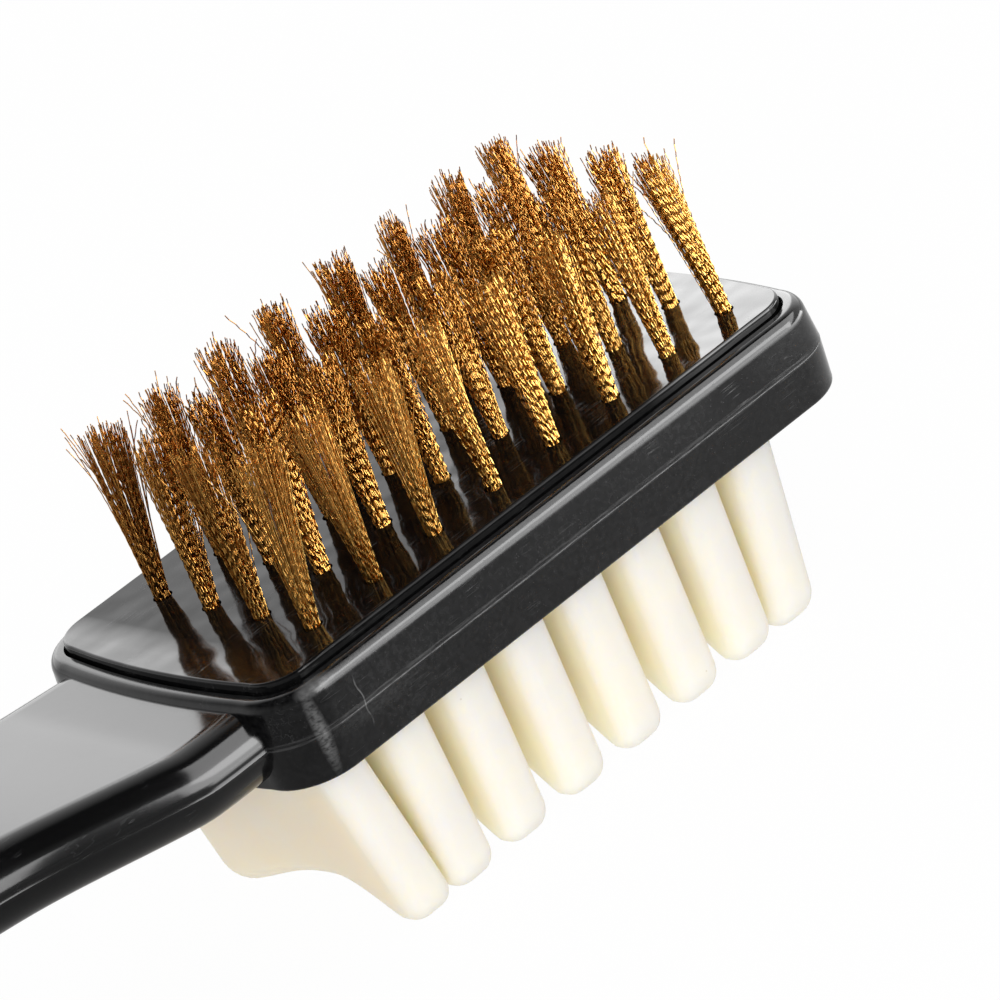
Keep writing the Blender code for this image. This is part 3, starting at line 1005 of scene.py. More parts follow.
@dataclass
class HandleMoulding:
    """The one-piece moulding: the head's frame and the handle."""

    plan: HeadPlan
    levels: Levels
    rubber: RubberPlan
    draft: float = 0.0003
    rim_round: float = 0.0014
    rim_ledge: float = 0.0006
    lower_round: float = 0.0004
    round_steps: int = 8
    seam_proud: float = 0.00002
    seam_half: float = 0.00007
    seam_apart: float = 0.00036
    side_step: float = 0.0036
    top_step: float = 0.0009
    lower_step: float = 0.0009
    root: float = 0.0036
    lift: float = 0.0036
    shoulder_share: float = 0.54
    side_steps: int = 14
    stations: int = 84
    end_steps: int = 18
    end_start_share: float = 0.875
    end_width_share: float = 0.03
    end_depth_share: float = 0.45
    station_shares: tuple[float, ...] = (0.0, 0.095, 0.125, 0.30, 0.46, 0.62, 0.76, 0.90, 1.0)
    width_shares: tuple[float, ...] = (0.955, 1.0, 0.990, 0.805, 0.735, 0.72, 0.77, 0.79, 0.77)
    lift_shares: tuple[float, ...] = (0.0, 0.11, 0.19, 0.66, 0.90, 1.0, 0.96, 0.80, 0.70)
    depth_shares: tuple[float, ...] = (1.0, 1.0, 1.005, 1.05, 1.12, 1.18, 1.20, 1.16, 1.10)
    marks: tuple[ScuffAndHighlight | Scratch, ...] = (
        # Painted highlight: the first patch carries the rim's highlight round the near-left corner. The
        # second, down the corner's rounding, is partly painted highlight and partly a scuffed edge. The third
        # is a faint lighter patch along the seam, and the scratch is real wear.
        ScuffAndHighlight(along=0.0062, above=0.0043, reach=(0.0030, 0.002, 0.0009), strength=0.55, solid_share=0.6),
        ScuffAndHighlight(along=0.0050, above=0.0004, reach=(0.0008, 0.002, 0.0056), strength=0.5),
        ScuffAndHighlight(along=0.0110, above=-0.0006, reach=(0.0060, 0.002, 0.0012), strength=0.08),
        Scratch(along=0.0100, low=-0.0026, high=0.0032),
    )

    @property
    def recess(self) -> float:
        """Returns how far in from the head's outline the plate's rebate lies."""
        return self.rim_round + self.rim_ledge

    def head_rings(self) -> list[Ring]:
        """Draws the head from inside the lower recess round to inside the upper one.

        Returns:
            The rings, in order.
        """
        plan, levels = self.plan, self.levels
        rings = [
            self.rubber.ring(CLEARANCE, levels.rubber_top + CLEARANCE),
            self.rubber.ring(CLEARANCE, levels.head_bottom),
        ]
        for angle in quarter_turn(self.round_steps):
            inset = self.draft + self.lower_round * (1 - math.sin(angle))
            rings.append(plan.ring(inset, levels.head_bottom + self.lower_round * (1 - math.cos(angle))))
        for drop, proud in ((-self.seam_half, 0.0), (0.0, self.seam_proud), (self.seam_half, 0.0)):
            rings.append(plan.ring(-proud, levels.seam + drop))
        for angle in quarter_turn(self.round_steps):
            inset = self.draft + (self.rim_round - self.draft) * (1 - math.cos(angle))
            rings.append(plan.ring(inset, levels.rim_top - self.rim_round * (1 - math.sin(angle))))
        rings.append(plan.ring(self.recess, levels.rim_top))
        rings.append(plan.ring(self.recess, levels.plate_bottom - CLEARANCE))
        return rings

    def along(self, shares: tuple[float, ...], place: float) -> float:
        """Reads a smooth curve through shares of the handle.

        Args:
            shares: the values at the stations.
            place: how far along the handle, from 0 to 1.

        Returns:
            The value at that place.
        """
        stations = self.station_shares
        last = len(stations) - 1
        i = 0
        while i < last - 1 and place > stations[i + 1]:
            i += 1
        span = stations[i + 1] - stations[i]
        part = (place - stations[i]) / span

        def slope(station: int) -> float:
            """Returns the curve's slope at one station."""
            before, after = max(station - 1, 0), min(station + 1, last)
            return (shares[after] - shares[before]) / (stations[after] - stations[before])

        rise = shares[i + 1] - shares[i]
        start, end = slope(i) * span, slope(i + 1) * span
        squared, cubed = 3 * rise - 2 * start - end, start + end - 2 * rise
        return shares[i] + part * (start + part * (squared + part * cubed))

    def section(self, place: float, shrink: float) -> Ring:
        """Draws one section of the handle, with the parting ridge on either side.

        Args:
            place: how far along the handle, from 0 to 1.
            shrink: what is left of the width near the far end.

        Returns:
            The section's points.
        """
        far_x, _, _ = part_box("handle_body")[0]
        start_x = self.plan.start_x + self.root
        x = start_x + place * (far_x - start_x)
        top = self.levels.rim_top - self.top_step
        depth = self.levels.rim_top - self.levels.head_bottom - self.top_step - self.lower_step
        half = (self.plan.width / 2 - self.side_step) * self.along(self.width_shares, place) * shrink
        middle = top - depth / 2 + self.lift * self.along(self.lift_shares, place)
        deep = depth * self.along(self.depth_shares, place)
        deep *= self.end_depth_share + (1 - self.end_depth_share) * shrink
        side = min(deep * self.shoulder_share, half)
        ridge = self.seam_half / deep
        angles = [QUARTER * (1 - i / self.side_steps) for i in range(self.side_steps)]
        angles += [ridge, 0.0, -ridge]
        angles += [-angle for angle in quarter_turn(self.side_steps)[1:]]
        points = []
        for turn in (1, -1):
            for angle in angles:
                proud = self.seam_proud * shrink if angle == 0.0 else 0.0
                y = half - side + (side + proud) * math.cos(angle)
                points.append(Vector((x, turn * y, middle + turn * deep / 2 * math.sin(angle))))
        return points

    def handle_rings(self) -> list[Ring]:
        """Draws the handle's sections, from inside the head to its rounded end.

        Returns:
            The sections, in order.
        """
        start = self.end_start_share
        rings = [self.section(start * i / self.stations, 1.0) for i in range(self.stations + 1)]
        for angle in quarter_turn(self.end_steps)[1:]:
            shrink = max(math.cos(angle), self.end_width_share)
            rings.append(self.section(start + (1 - start) * math.sin(angle), shrink))
        return rings

    def build(self) -> bpy.types.Object:
        """Builds the moulding.

        Returns:
            The finished piece, not yet dressed.
        """
        body = loft("moulding", self.head_rings())
        combined(body, loft("bar", self.handle_rings()), Combine.JOIN)
        ends = (self.levels.plate_bottom - CLEARANCE, self.levels.plate_top)
        pocket = loft("pocket", [self.plan.ring(self.recess, level) for level in ends])
        combined(body, pocket, Combine.CUT)
        shaded(body)
        return body

    def dress(self, body: bpy.types.Object) -> None:
        """Gives the moulding its plastic, with the wear that the real one shows and painted highlights at its
        near-left corner.

        Args:
            body: the moulding.
        """
        seam = self.levels.seam
        finish = MouldedPlastic(
            "moulded_plastic",
            corner=(self.plan.start_x, -self.plan.width / 2, seam),
            marks=self.marks,
            seam_levels=(seam, seam + self.seam_apart),
        )
        dressed(body, finish.material(), ["handle_body"])


@dataclass
class TuftGrid:
    """Where the tufts stand on the plate."""

    plan: HeadPlan
    columns: int = 8
    rows: int = 4
    root_margin: float = 0.0126
    tip_margin: float = 0.0078
    near_margin: float = 0.00745
    far_margin: float = 0.00925
    hole_radius: float = 0.00098
    column_places: list[float] = field(init=False)
    row_places: list[float] = field(init=False)

    def __post_init__(self) -> None:
        """Works out the X of each column and the Y of each row."""
        first_x, last_x = self.plan.start_x + self.root_margin, self.plan.tip_x - self.tip_margin
        half = self.plan.width / 2
        self.column_places = even_places(first_x, last_x, self.columns)
        self.row_places = even_places(self.near_margin - half, half - self.far_margin, self.rows)


@dataclass
class BrushPlate:
    """The glossy insert that the tufts are set in."""

    plan: HeadPlan
    levels: Levels
    grid: TuftGrid
    inset: float = 0.0023
    edge_round: float = 0.0003
    edge_steps: int = 5
    hole_sides: int = 28
    hazed_colour: Colour = (0.006, 0.006, 0.006)
    gloss: Span = (0.05, 0.10)
    speck_share: float = 0.09
    mottle_relief: float = 0.1
    wave_relief: float = 16.0
    dulled_pitches: Span = (1.0, 0.6)

    def hole(self, x: float, y: float) -> bpy.types.Object:
        """Makes the drill for one hole.

        Args:
            x: the hole's place along the head.
            y: the hole's place across the head.

        Returns:
            The drill, longer than the plate is thick.
        """
        radius, sides = self.grid.hole_radius, self.hole_sides
        rings = []
        for level in (self.levels.plate_bottom - self.inset, self.levels.plate_top + self.inset):
            angles = [2 * math.pi * i / sides for i in range(sides)]
            circle = [(x + radius * math.cos(angle), y + radius * math.sin(angle)) for angle in angles]
            rings.append([Vector((*spot, level)) for spot in circle])
        return loft("hole", rings)

    def build(self) -> bpy.types.Object:
        """Builds the plate with its holes.

        Returns:
            The finished piece, not yet dressed.
        """
        rings = [self.plan.ring(self.inset, self.levels.plate_bottom)]
        for angle in quarter_turn(self.edge_steps):
            inset = self.inset + self.edge_round * (1 - math.cos(angle))
            level = self.levels.plate_top - self.edge_round * (1 - math.sin(angle))
            rings.append(self.plan.ring(inset, level))
        plate = loft("tuft_plate", rings)
        first, *others = [self.hole(x, y) for y in self.grid.row_places for x in self.grid.column_places]
        for other in others:
            combined(first, other, Combine.JOIN)
        combined(plate, first, Combine.CUT)
        shaded(plate)
        return plate

    def dress(self, plate: bpy.types.Object) -> None:
        """Gives the plate its plastic, with less shine along all but its two ends.

        Args:
            plate: the plate.
        """
        columns = self.grid.column_places
        pitch = columns[1] - columns[0]
        before = [columns[0] - share * pitch for share in self.dulled_pitches]
        finish = MouldedPlastic(
            "plate_plastic",
            hazed_colour=self.hazed_colour,
            gloss=self.gloss,
            speck_share=self.speck_share,
            mottle_relief=self.mottle_relief,
            wave_relief=self.wave_relief,
            dulled_x=(*before, columns[-3], columns[-2]),
        )
        dressed(plate, finish.material(), ["brush_plate"])


INPUT_KINDS = {
    int: "NodeSocketInt",
    float: "NodeSocketFloat",
    bpy.types.Object: "NodeSocketObject",
    bpy.types.Material: "NodeSocketMaterial",
}
STORED_KINDS = {Number: "FLOAT", Triple: "FLOAT_VECTOR"}


class GrowthGraph(Graph):
    """A Geometry Nodes tree with named inputs."""

    def __init__(self, name: str, values: dict[str, object]) -> None:
        """Starts a tree.

        Args:
            name: the tree's name.
            values: the names of its inputs, each with a value of the kind that it takes.
        """
        super().__init__(bpy.data.node_groups.new(name, "GeometryNodeTree"))
        interface = self.tree.interface
        interface.new_socket("Geometry", in_out="INPUT", socket_type="NodeSocketGeometry")
        for label, value in values.items():
            interface.new_socket(label, in_out="INPUT", socket_type=INPUT_KINDS[type(value)])
        interface.new_socket("Geometry", in_out="OUTPUT", socket_type="NodeSocketGeometry")
        self.given = self.outputs("NodeGroupInput")

    def random(self, draw: Draw, low: float = 0.0, high: float = 1.0) -> Number:
        """Draws a random number for each element.

        Args:
            draw: which of a wire's draws it is.
            low: the least value.
            high: the greatest value.

        Returns:
            The random number.
        """
        made = self.node("FunctionNodeRandomValue", data_type="FLOAT")
        self.feed(made.inputs[2], low)
        self.feed(made.inputs[3], high)
        self.feed(made.inputs["Seed"], self.given["Seed"] + draw.value)
        return self.term(made.outputs[1])

    def around(self, draw: Draw, reach: float) -> Number:
        """Returns a random number within a reach of 0, for each element."""
        return self.random(draw, -reach, reach)

    def position(self) -> Triple:
        """Returns the place of each element."""
        return self.call("GeometryNodeInputPosition", {}, "Position")

    def real(self, geometry: Term) -> Term:
        """Returns geometry with its instances made real."""
        return self.call("GeometryNodeRealizeInstances", {"Geometry": geometry}, "Geometry")

    def copied(self, points: Term, shape: Term) -> Term:
        """Returns real copies of a shape, one on each point."""
        inputs = {"Points": points, "Instance": shape}
        return self.real(self.call("GeometryNodeInstanceOnPoints", inputs, "Instances"))

    def stored(self, geometry: Term, **values: Term) -> Term:
        """Keeps values on every point under their names.

        Args:
            geometry: the geometry that keeps them.
            values: the values by name.

        Returns:
            The geometry that carries the values.
        """
        for name, value in values.items():
            inputs = {"Geometry": geometry, "Name": name, "Value": value}
            settings = {"data_type": STORED_KINDS[type(value)], "domain": "POINT"}
            geometry = self.call("GeometryNodeStoreNamedAttribute", inputs, "Geometry", **settings)
        return geometry

    def read(self, name: str, kind: type[Term] = Number) -> Term:
        """Returns a number or a triple that was kept under a name."""
        made = self.node("GeometryNodeInputNamedAttribute", name, data_type=STORED_KINDS[kind])
        return kind(self, made.outputs["Attribute"])

    def finish(self, geometry: Term) -> bpy.types.GeometryNodeTree:
        """Ends the tree with plain geometry in one material.

        Args:
            geometry: what the tree has made.

        Returns:
            The tree.
        """
        inputs = {"Geometry": self.real(geometry), "Material": self.given["Material"]}
        self.node("NodeGroupOutput", self.call("GeometryNodeSetMaterial", inputs, "Geometry"))
        return self.tree


def grown(name: str, base: bpy.types.Object, tree: bpy.types.NodeTree, values: dict) -> bpy.types.Object:
    """Runs a Geometry Nodes tree on a base and keeps its result as a plain mesh.

    Args:
        name: the new piece's name.
        base: the object that the tree starts from, which is then removed.
        tree: the tree.
        values: the tree's inputs by name.

    Returns:
        The new piece.
    """
    modifier = base.modifiers.new(name, "NODES")
    modifier.node_group = tree
    for item in tree.interface.items_tree:
        if item.in_out == "INPUT" and item.name in values:
            modifier[item.identifier] = values[item.name]
    mesh = evaluated_mesh(base)
    bpy.data.objects.remove(base, do_unlink=True)
    mesh.name = name
    for passing in PASSING:
        if passing in mesh.attributes:
            mesh.attributes.remove(mesh.attributes[passing])
    return linked(name, mesh)


@dataclass(frozen=True)
class TuftHabit:
    """How one tuft differs from the others, as its wires were bent in use."""

    lean_x: float = 0.0
    lean_y: float = 0.0
    splay: float = 1.0
    height: float = 1.0
    fan: float = 1.45
    uneven: float = 0.25


HABITS = {
    (1, 1): TuftHabit(lean_x=0.0004, lean_y=-0.0003, splay=1.4, fan=1.50, uneven=1.0),
    (1, 2): TuftHabit(lean_x=-0.0005, splay=1.2, fan=1.75, uneven=1.0),
    (1, 3): TuftHabit(lean_x=0.0004, height=0.98, fan=1.75, uneven=0.9),
    (1, 4): TuftHabit(fan=1.55, uneven=0.6),
    (1, 5): TuftHabit(lean_x=-0.0004, lean_y=0.0003),
    (1, 7): TuftHabit(fan=1.15),
    (1, 8): TuftHabit(lean_x=-0.0006, splay=1.6, fan=0.95),
    (2, 1): TuftHabit(lean_x=-0.0006, lean_y=0.0003, splay=1.3, fan=1.60, uneven=0.8),
    (3, 1): TuftHabit(lean_x=0.0003, splay=1.8, fan=1.60, uneven=0.6),
    (3, 4): TuftHabit(lean_x=0.0004),
    (4, 1): TuftHabit(lean_x=0.0003, splay=4.5, fan=1.50, uneven=0.8),
    (4, 4): TuftHabit(lean_x=-0.0004, splay=1.3),
    (4, 7): TuftHabit(lean_x=0.0003, lean_y=-0.0003),
}


@dataclass
class BrassTufts:
    """Rows of tufts of crimped brass wire."""

    levels: Levels
    grid: TuftGrid
    habits: dict[tuple[int, int], TuftHabit]
    wires: int = 124
    wire_radius: float = 0.000058
    wire_sides: int = 3
    wire_points: int = 32
    foot_radius: float = 0.00076
    foot_sunk: float = 0.0004
    root_rise: float = 0.00105
    height: float = 0.0173
    tip_share: float = 2.05
    end_lean: float = 0.0013
    crimp_depth: float = 0.000130
    crimp_azimuth: float = math.radians(250)
    crimp_turn: float = 0.5
    crimp_shares: Span = (0.8, 1.15)
    crimp_slack: float = 0.15
    straightened: float = 0.62
    turn_jitter: float = 0.15
    jitter: float = 0.00035
    tufts_apart: float = 7.0
    sway_size: float = 0.0011
    sway: float = 0.0036
    bend_power: float = 1.15
    stray_chance: float = 0.045
    stray_reach: float = 0.0036
    stray_power: float = 2.4
    slip_size: float = 0.00065
    slip: float = 0.0022
    scatter: float = 0.0004
    half_wave_chance: float = 0.5
    noise_detail: float = 1.0
    longest_share: float = 1.02
    shortening: float = 0.13
    same_share: float = 0.00001
    seed: int = 41
    seed_step: int = 100

    def roots(self, graph: GrowthGraph) -> Term:
        """Scatters the roots of a tuft's wires in its hole and draws each wire's own habits.

        Args:
            graph: the tree.

        Returns:
            Points, one for each wire.
        """
        given = graph.given
        copies = graph.node("GeometryNodeDuplicateElements", given["Geometry"], domain="POINT")
        graph.feed(copies.inputs["Amount"], given["Wires"])
        number = graph.term(copies.outputs["Duplicate Index"])
        angle = number * GOLDEN_ANGLE + graph.around(Draw.ANGLE, self.turn_jitter)
        share = graph.math("SQRT", (number + 0.5) / given["Wires"])
        root = graph.polar(share * given["Foot Radius"], angle)
        spot = graph.position() * self.tufts_apart + root
        sway = graph.noise(spot, 1 / self.sway_size, self.noise_detail, "Color") - (NOISE_MIDDLE,) * 3
        jitter_x, jitter_y = (graph.around(draw, self.jitter) for draw in (Draw.JITTER_X, Draw.JITTER_Y))
        bend = root * ((given["Tip Share"] - 1.0) * graph.read("fan")) + sway * (self.sway, self.sway, 0.0)
        bend = bend + graph.combine(jitter_x, jitter_y, 0.0) + graph.read("lean", Triple)
        loose = graph.random(Draw.LOOSE) < graph.read("splay") * self.stray_chance
        stray_x, stray_y = (graph.around(draw, self.stray_reach) for draw in (Draw.STRAY_X, Draw.STRAY_Y))
        slip = (graph.noise(spot, 1 / self.slip_size, self.noise_detail) - NOISE_MIDDLE) * self.slip
        slip = slip + graph.around(Draw.SCATTER, self.scatter) * graph.read("uneven")
        half_wave = given["Height"] / (given["Wire Points"] - 2.0)
        slip = slip + half_wave * (graph.random(Draw.HALF_WAVE) < self.half_wave_chance)
        shorter = graph.random(Draw.SHORTER) ** 2.0 * self.shortening
        swing = given["Crimp Depth"] * graph.random(Draw.CRIMP_SWING, *self.crimp_shares)
        swing = swing * (1.0 - graph.read("uneven") * self.straightened)
        return graph.stored(
            graph.term(copies.outputs["Geometry"]),
            root=root,
            bend=bend,
            astray=graph.combine(stray_x, stray_y, 0.0) * loose,
            crimp=graph.polar(swing, given["Crimp Azimuth"] + graph.around(Draw.CRIMP_TURN, self.crimp_turn)),
            wire_length=graph.read("tall") * (self.longest_share - shorter),
            slip=slip,
            tone=graph.random(Draw.TONE),
        )

    def shaped(self, graph: GrowthGraph, roots: Term) -> Term:
        """Stands a wire on each root and bends it to its fan, lean and crimps.

        Args:
            graph: the tree.
            roots: points, one for each wire.

        Returns:
            Curves, one for each wire.
        """
        given = graph.given
        line = graph.call("GeometryNodeCurvePrimitiveLine", {"End": UPWARDS}, "Curve")
        inputs = {"Curve": line, "Count": given["Wire Points"]}
        wires = graph.copied(roots, graph.call("GeometryNodeResampleCurve", inputs, "Curve"))
        step = graph.call("GeometryNodeSplineParameter", {}, "Index")
        share = graph.math("MAXIMUM", step - 1.0, 0.0) / (given["Wire Points"] - 2.0)
        side = graph.math("MODULO", step, 2.0) * 2.0 - 1.0
        offset = graph.read("root", Triple) + graph.read("bend", Triple) * share ** self.bend_power
        offset = offset + graph.read("astray", Triple) * share ** self.stray_power
        offset = offset + graph.read("crimp", Triple) * (side * (1.0 - share * self.crimp_slack))
        climb = share * graph.read("wire_length") + graph.read("slip") * (step > 0.5)
        sunk = (step < 0.5) * (given["Foot Top"] - given["Foot Bottom"])
        x, y, _ = graph.position().parts()
        place = graph.combine(x, y, given["Foot Top"] + climb - sunk) + offset
        wires = graph.call("GeometryNodeSetPosition", {"Geometry": wires, "Position": place}, "Geometry")
        return graph.stored(wires, share=share)

    def tubes(self, graph: GrowthGraph, wires: Term) -> Term:
        """Gives the wires their thickness, with a crease at every bend.

        Args:
            graph: the tree.
            wires: curves, one for each wire.

        Returns:
            A mesh of closed tubes.
        """
        inputs = {"Resolution": self.wire_sides, "Radius": graph.given["Wire Radius"]}
        profile = graph.call("GeometryNodeCurvePrimitiveCircle", inputs, "Curve")
        inputs = {"Curve": wires, "Profile Curve": profile, "Fill Caps": True}
        tubes = graph.call("GeometryNodeCurveToMesh", inputs, "Mesh")
        tubes = graph.call("GeometryNodeSetShadeSmooth", {"Geometry": tubes}, "Geometry")
        ends = graph.outputs("GeometryNodeInputMeshEdgeVertices")
        shares = []
        for name in ("Vertex Index 1", "Vertex Index 2"):
            inputs = {"Value": graph.read("share"), "Index": ends[name]}
            shares.append(graph.call("GeometryNodeFieldAtIndex", inputs, "Value", domain="POINT"))
        bends = abs(shares[0] - shares[1]) < self.same_share
        inputs = {"Geometry": tubes, "Selection": bends, "Shade Smooth": False}
        return graph.call("GeometryNodeSetShadeSmooth", inputs, "Geometry", domain="EDGE")

    def places(self, row: int, y: float) -> bpy.types.Object:
        """Makes a mesh with a point for each tuft of a row, which carries the tuft's habits.

        Args:
            row: the row's number, from 1.
            y: the row's place.

        Returns:
            An object of loose points.
        """
        columns = self.grid.column_places
        middle = (columns[0] + columns[-1]) / 2
        half = (columns[-1] - columns[0]) / 2
        mesh = bpy.data.meshes.new("places")
        mesh.from_pydata([(x, y, self.levels.plate_top) for x in columns], [], [])
        for name in TUFT_HABITS:
            mesh.attributes.new(name, "FLOAT_VECTOR" if name == "lean" else "FLOAT", "POINT")
        lean, splay, tall, fan, uneven = (mesh.attributes[name].data for name in TUFT_HABITS)
        for i, x in enumerate(columns):
            habit = self.habits.get((row, i + 1), TuftHabit())
            inwards = -self.end_lean * ((x - middle) / half) ** 3
            lean[i].vector = (inwards + habit.lean_x, habit.lean_y, 0.0)
            splay[i].value = habit.splay
            tall[i].value = self.height * habit.height
            fan[i].value = habit.fan
            uneven[i].value = habit.uneven
        return linked("places", mesh)

    def build(self, material: bpy.types.Material) -> list[bpy.types.Object]:
        """Grows every row, each from a seed of its own.

        Args:
            material: the wires' finish.

        Returns:
            One piece for each row.
        """
        values = {
            "Wires": self.wires,
            "Wire Radius": self.wire_radius,
            "Wire Points": self.wire_points,
            "Foot Radius": self.foot_radius,
            "Foot Top": self.levels.plate_top - self.foot_sunk,
            "Foot Bottom": self.levels.plate_bottom + self.root_rise,
            "Height": self.height,
            "Tip Share": self.tip_share,
            "Crimp Depth": self.crimp_depth,
            "Crimp Azimuth": self.crimp_azimuth,
            "Seed": self.seed,
            "Material": material,
        }
        graph = GrowthGraph("crimped_wires", values)
        tree = graph.finish(self.tubes(graph, self.shaped(graph, self.roots(graph))))
        made = []
        for i, y in enumerate(self.grid.row_places):
            values["Seed"] = self.seed + self.seed_step * i
            made.append(grown(f"brass_row_{i + 1}", self.places(i + 1, y), tree, values))
        return made

    def dress(self, rows: list[bpy.types.Object], material: bpy.types.Material) -> None:
        """Gives each row its brass and lets it stand for the row's packed tufts.

        Args:
            rows: the pieces, in order.
            material: the wires' finish.
        """
        for i, piece in enumerate(rows):
            nodes = [f"brass_tuft_r{i + 1}_c{column}" for column in range(1, self.grid.columns + 1)]
            dressed(piece, material, nodes)


@dataclass
class RibbedRubber:
    """The rubber block: a base in the head's recess, and ribs across it."""

    levels: Levels
    layout: RubberPlan
    flat: float = 0.0016
    tip_round: float = 0.0026
    tip_flat: float = 0.0008
    arch_height: float = 0.0041
    arch_near_share: float = 0.28
    arch_power: float = 1.2
    arch_steps: int = 28
    tip_steps: int = 9
    nose_steps: int = 8
    support: float = 0.0001
    root_lean_share: float = 0.40
    tip_lean_share: float = 0.3125
    lean_power: float = 4.4

    @property
    def curve(self) -> float:
        """Returns how far a rib's rounded edge reaches in from its side."""
        return self.layout.thickness / 2 - self.flat / 2

    def tip(self, middle: float, start: float) -> list[Span]:
        """Draws the round under one tip of a rib.

        Args:
            middle: the Y of the round's centre.
            start: the half turns at which it starts.

        Returns:
            Its points, as Y and Z.
        """
        angles = [math.pi * (start + i / self.tip_steps / 2) for i in range(self.tip_steps + 1)]
        radius = self.tip_round
        return [(middle + radius * math.cos(angle), radius * (1 + math.sin(angle))) for angle in angles]

    def profile(self) -> list[Vector]:
        """Draws a rib's outline in the YZ plane, from its top round its two tips.

        Returns:
            The outline's points.
        """
        near_y, far_y = self.layout.near_y, self.layout.far_y
        top = self.levels.rubber_top + self.curve
        near, far = near_y + self.tip_round, far_y - self.tip_round
        start, end = near + self.tip_flat, far - self.tip_flat
        peak = start + (end - start) * self.arch_near_share
        points = [(near_y, top), *self.tip(near, 1)]
        for i in range(self.arch_steps + 1):
            y = start + (end - start) * i / self.arch_steps
            away = (y - peak) / ((start if y < peak else end) - peak)
            points.append((y, self.arch_height * max(math.cos(QUARTER * away), 0.0) ** self.arch_power))
        return [Vector(point) for point in (*points, *self.tip(far, 1.5), (far_y, top))]

    @staticmethod
    def drawn_in(points: list[Vector], distance: float) -> list[Vector]:
        """Moves a closed outline inwards, point by point.

        Args:
            points: the outline.
            distance: how far it moves.

        Returns:
            The moved outline.
        """
        count = len(points)
        moved = []
        for i, here in enumerate(points):
            first = (here - points[i - 1]).normalized()
            second = (points[(i + 1) % count] - here).normalized()
            normal = Vector((-first.y - second.y, first.x + second.x))
            moved.append(here + normal * (2 * distance / normal.length_squared))
        return moved

    def rib(self) -> bpy.types.Object:
        """Builds one upright rib on the plane x = 0, with rounded noses.

        Returns:
            The rib.
        """
        outline = self.profile()
        curve = self.curve
        offsets = [(self.layout.thickness / 2, curve + self.support)]
        for angle in quarter_turn(self.nose_steps):
            offsets.append((self.flat / 2 + curve * math.cos(angle), curve * (1 - math.sin(angle))))
        ceiling = self.levels.rubber_top - self.support
        rings = []
        for x, inset in [(-across, inset) for across, inset in offsets] + offsets[::-1]:
            moved = self.drawn_in(outline, inset)
            rings.append([Vector((x, point.x, min(max(point.y, 0.0), ceiling))) for point in moved])
        rib = loft("rib", rings)
        shaded(rib)
        return rib

    def tree(self, values: dict[str, object]) -> bpy.types.GeometryNodeTree:
        """Builds the tree that sets the ribs in a line on the base, the end ones leaning inwards.

        Args:
            values: the tree's inputs by name.

        Returns:
            The tree.
        """
        graph = GrowthGraph("leaning_ribs", values)
        given = graph.given
        line = {
            "Count": given["Ribs"],
            "Start Location": graph.combine(given["First"], 0.0, 0.0),
            "Offset": graph.combine(given["Pitch"], 0.0, 0.0),
        }
        number = graph.call("GeometryNodeInputIndex", {}, "Index")
        outward = number * 2.0 / (given["Ribs"] - 1.0) - 1.0
        to_tip = outward > 0.0
        lean = given["Root Lean"] * (1.0 - to_tip) - given["Tip Lean"] * to_tip
        lean = lean * abs(outward) ** self.lean_power
        points = graph.stored(graph.call("GeometryNodeMeshLine", line, "Mesh"), rib_lean=lean)
        shape = graph.call("GeometryNodeObjectInfo", {"Object": given["Rib"]}, "Geometry")
        ribs = graph.copied(points, shape)
        _, _, level = graph.position().parts()
        shift = graph.combine(graph.read("rib_lean") * (1.0 - level / given["Hinge Level"]), 0.0, 0.0)
        ribs = graph.call("GeometryNodeSetPosition", {"Geometry": ribs, "Offset": shift}, "Geometry")
        joined = graph.node("GeometryNodeJoinGeometry", given["Geometry"])
        graph.feed(joined.inputs[0], ribs)
        return graph.finish(graph.term(joined.outputs[0]))

    def build(self, material: bpy.types.Material) -> bpy.types.Object:
        """Builds the rubber block.

        Args:
            material: the rubber's finish.

        Returns:
            The finished piece, not yet dressed.
        """
        layout, levels = self.layout, self.levels
        base = loft("base", [layout.ring(0.0, level) for level in (levels.head_bottom, levels.rubber_top)])
        rib = self.rib()
        values = {
            "Rib": rib,
            "Ribs": layout.ribs,
            "First": layout.start_x + layout.thickness / 2,
            "Pitch": layout.pitch,
            "Root Lean": self.root_lean_share * layout.pitch,
            "Tip Lean": self.tip_lean_share * layout.pitch,
            "Hinge Level": levels.head_bottom,
            "Material": material,
        }
        block = grown("ribbed_rubber", base, self.tree(values), values)
        bpy.data.objects.remove(rib, do_unlink=True)
        return block

    def dress(self, block: bpy.types.Object, material: bpy.types.Material) -> None:
        """Gives the block its rubber."""
        dressed(block, material, ["rubber_block"])


@dataclass
class DrawnWires:
    """The wires inside the plate that hold the folded tufts, kept as they are packed."""

    rows: int

    def dress(self) -> None:
        """Gives each packed wire its steel."""
        steel = DrawnSteel().material()
        for row in range(1, self.rows + 1):
            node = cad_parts[f"drawn_wire_row_{row}"]
            node.data.materials.clear()
            node.data.materials.append(steel)
            LOG.info("%s: packed wire, dressed in steel", node.name)


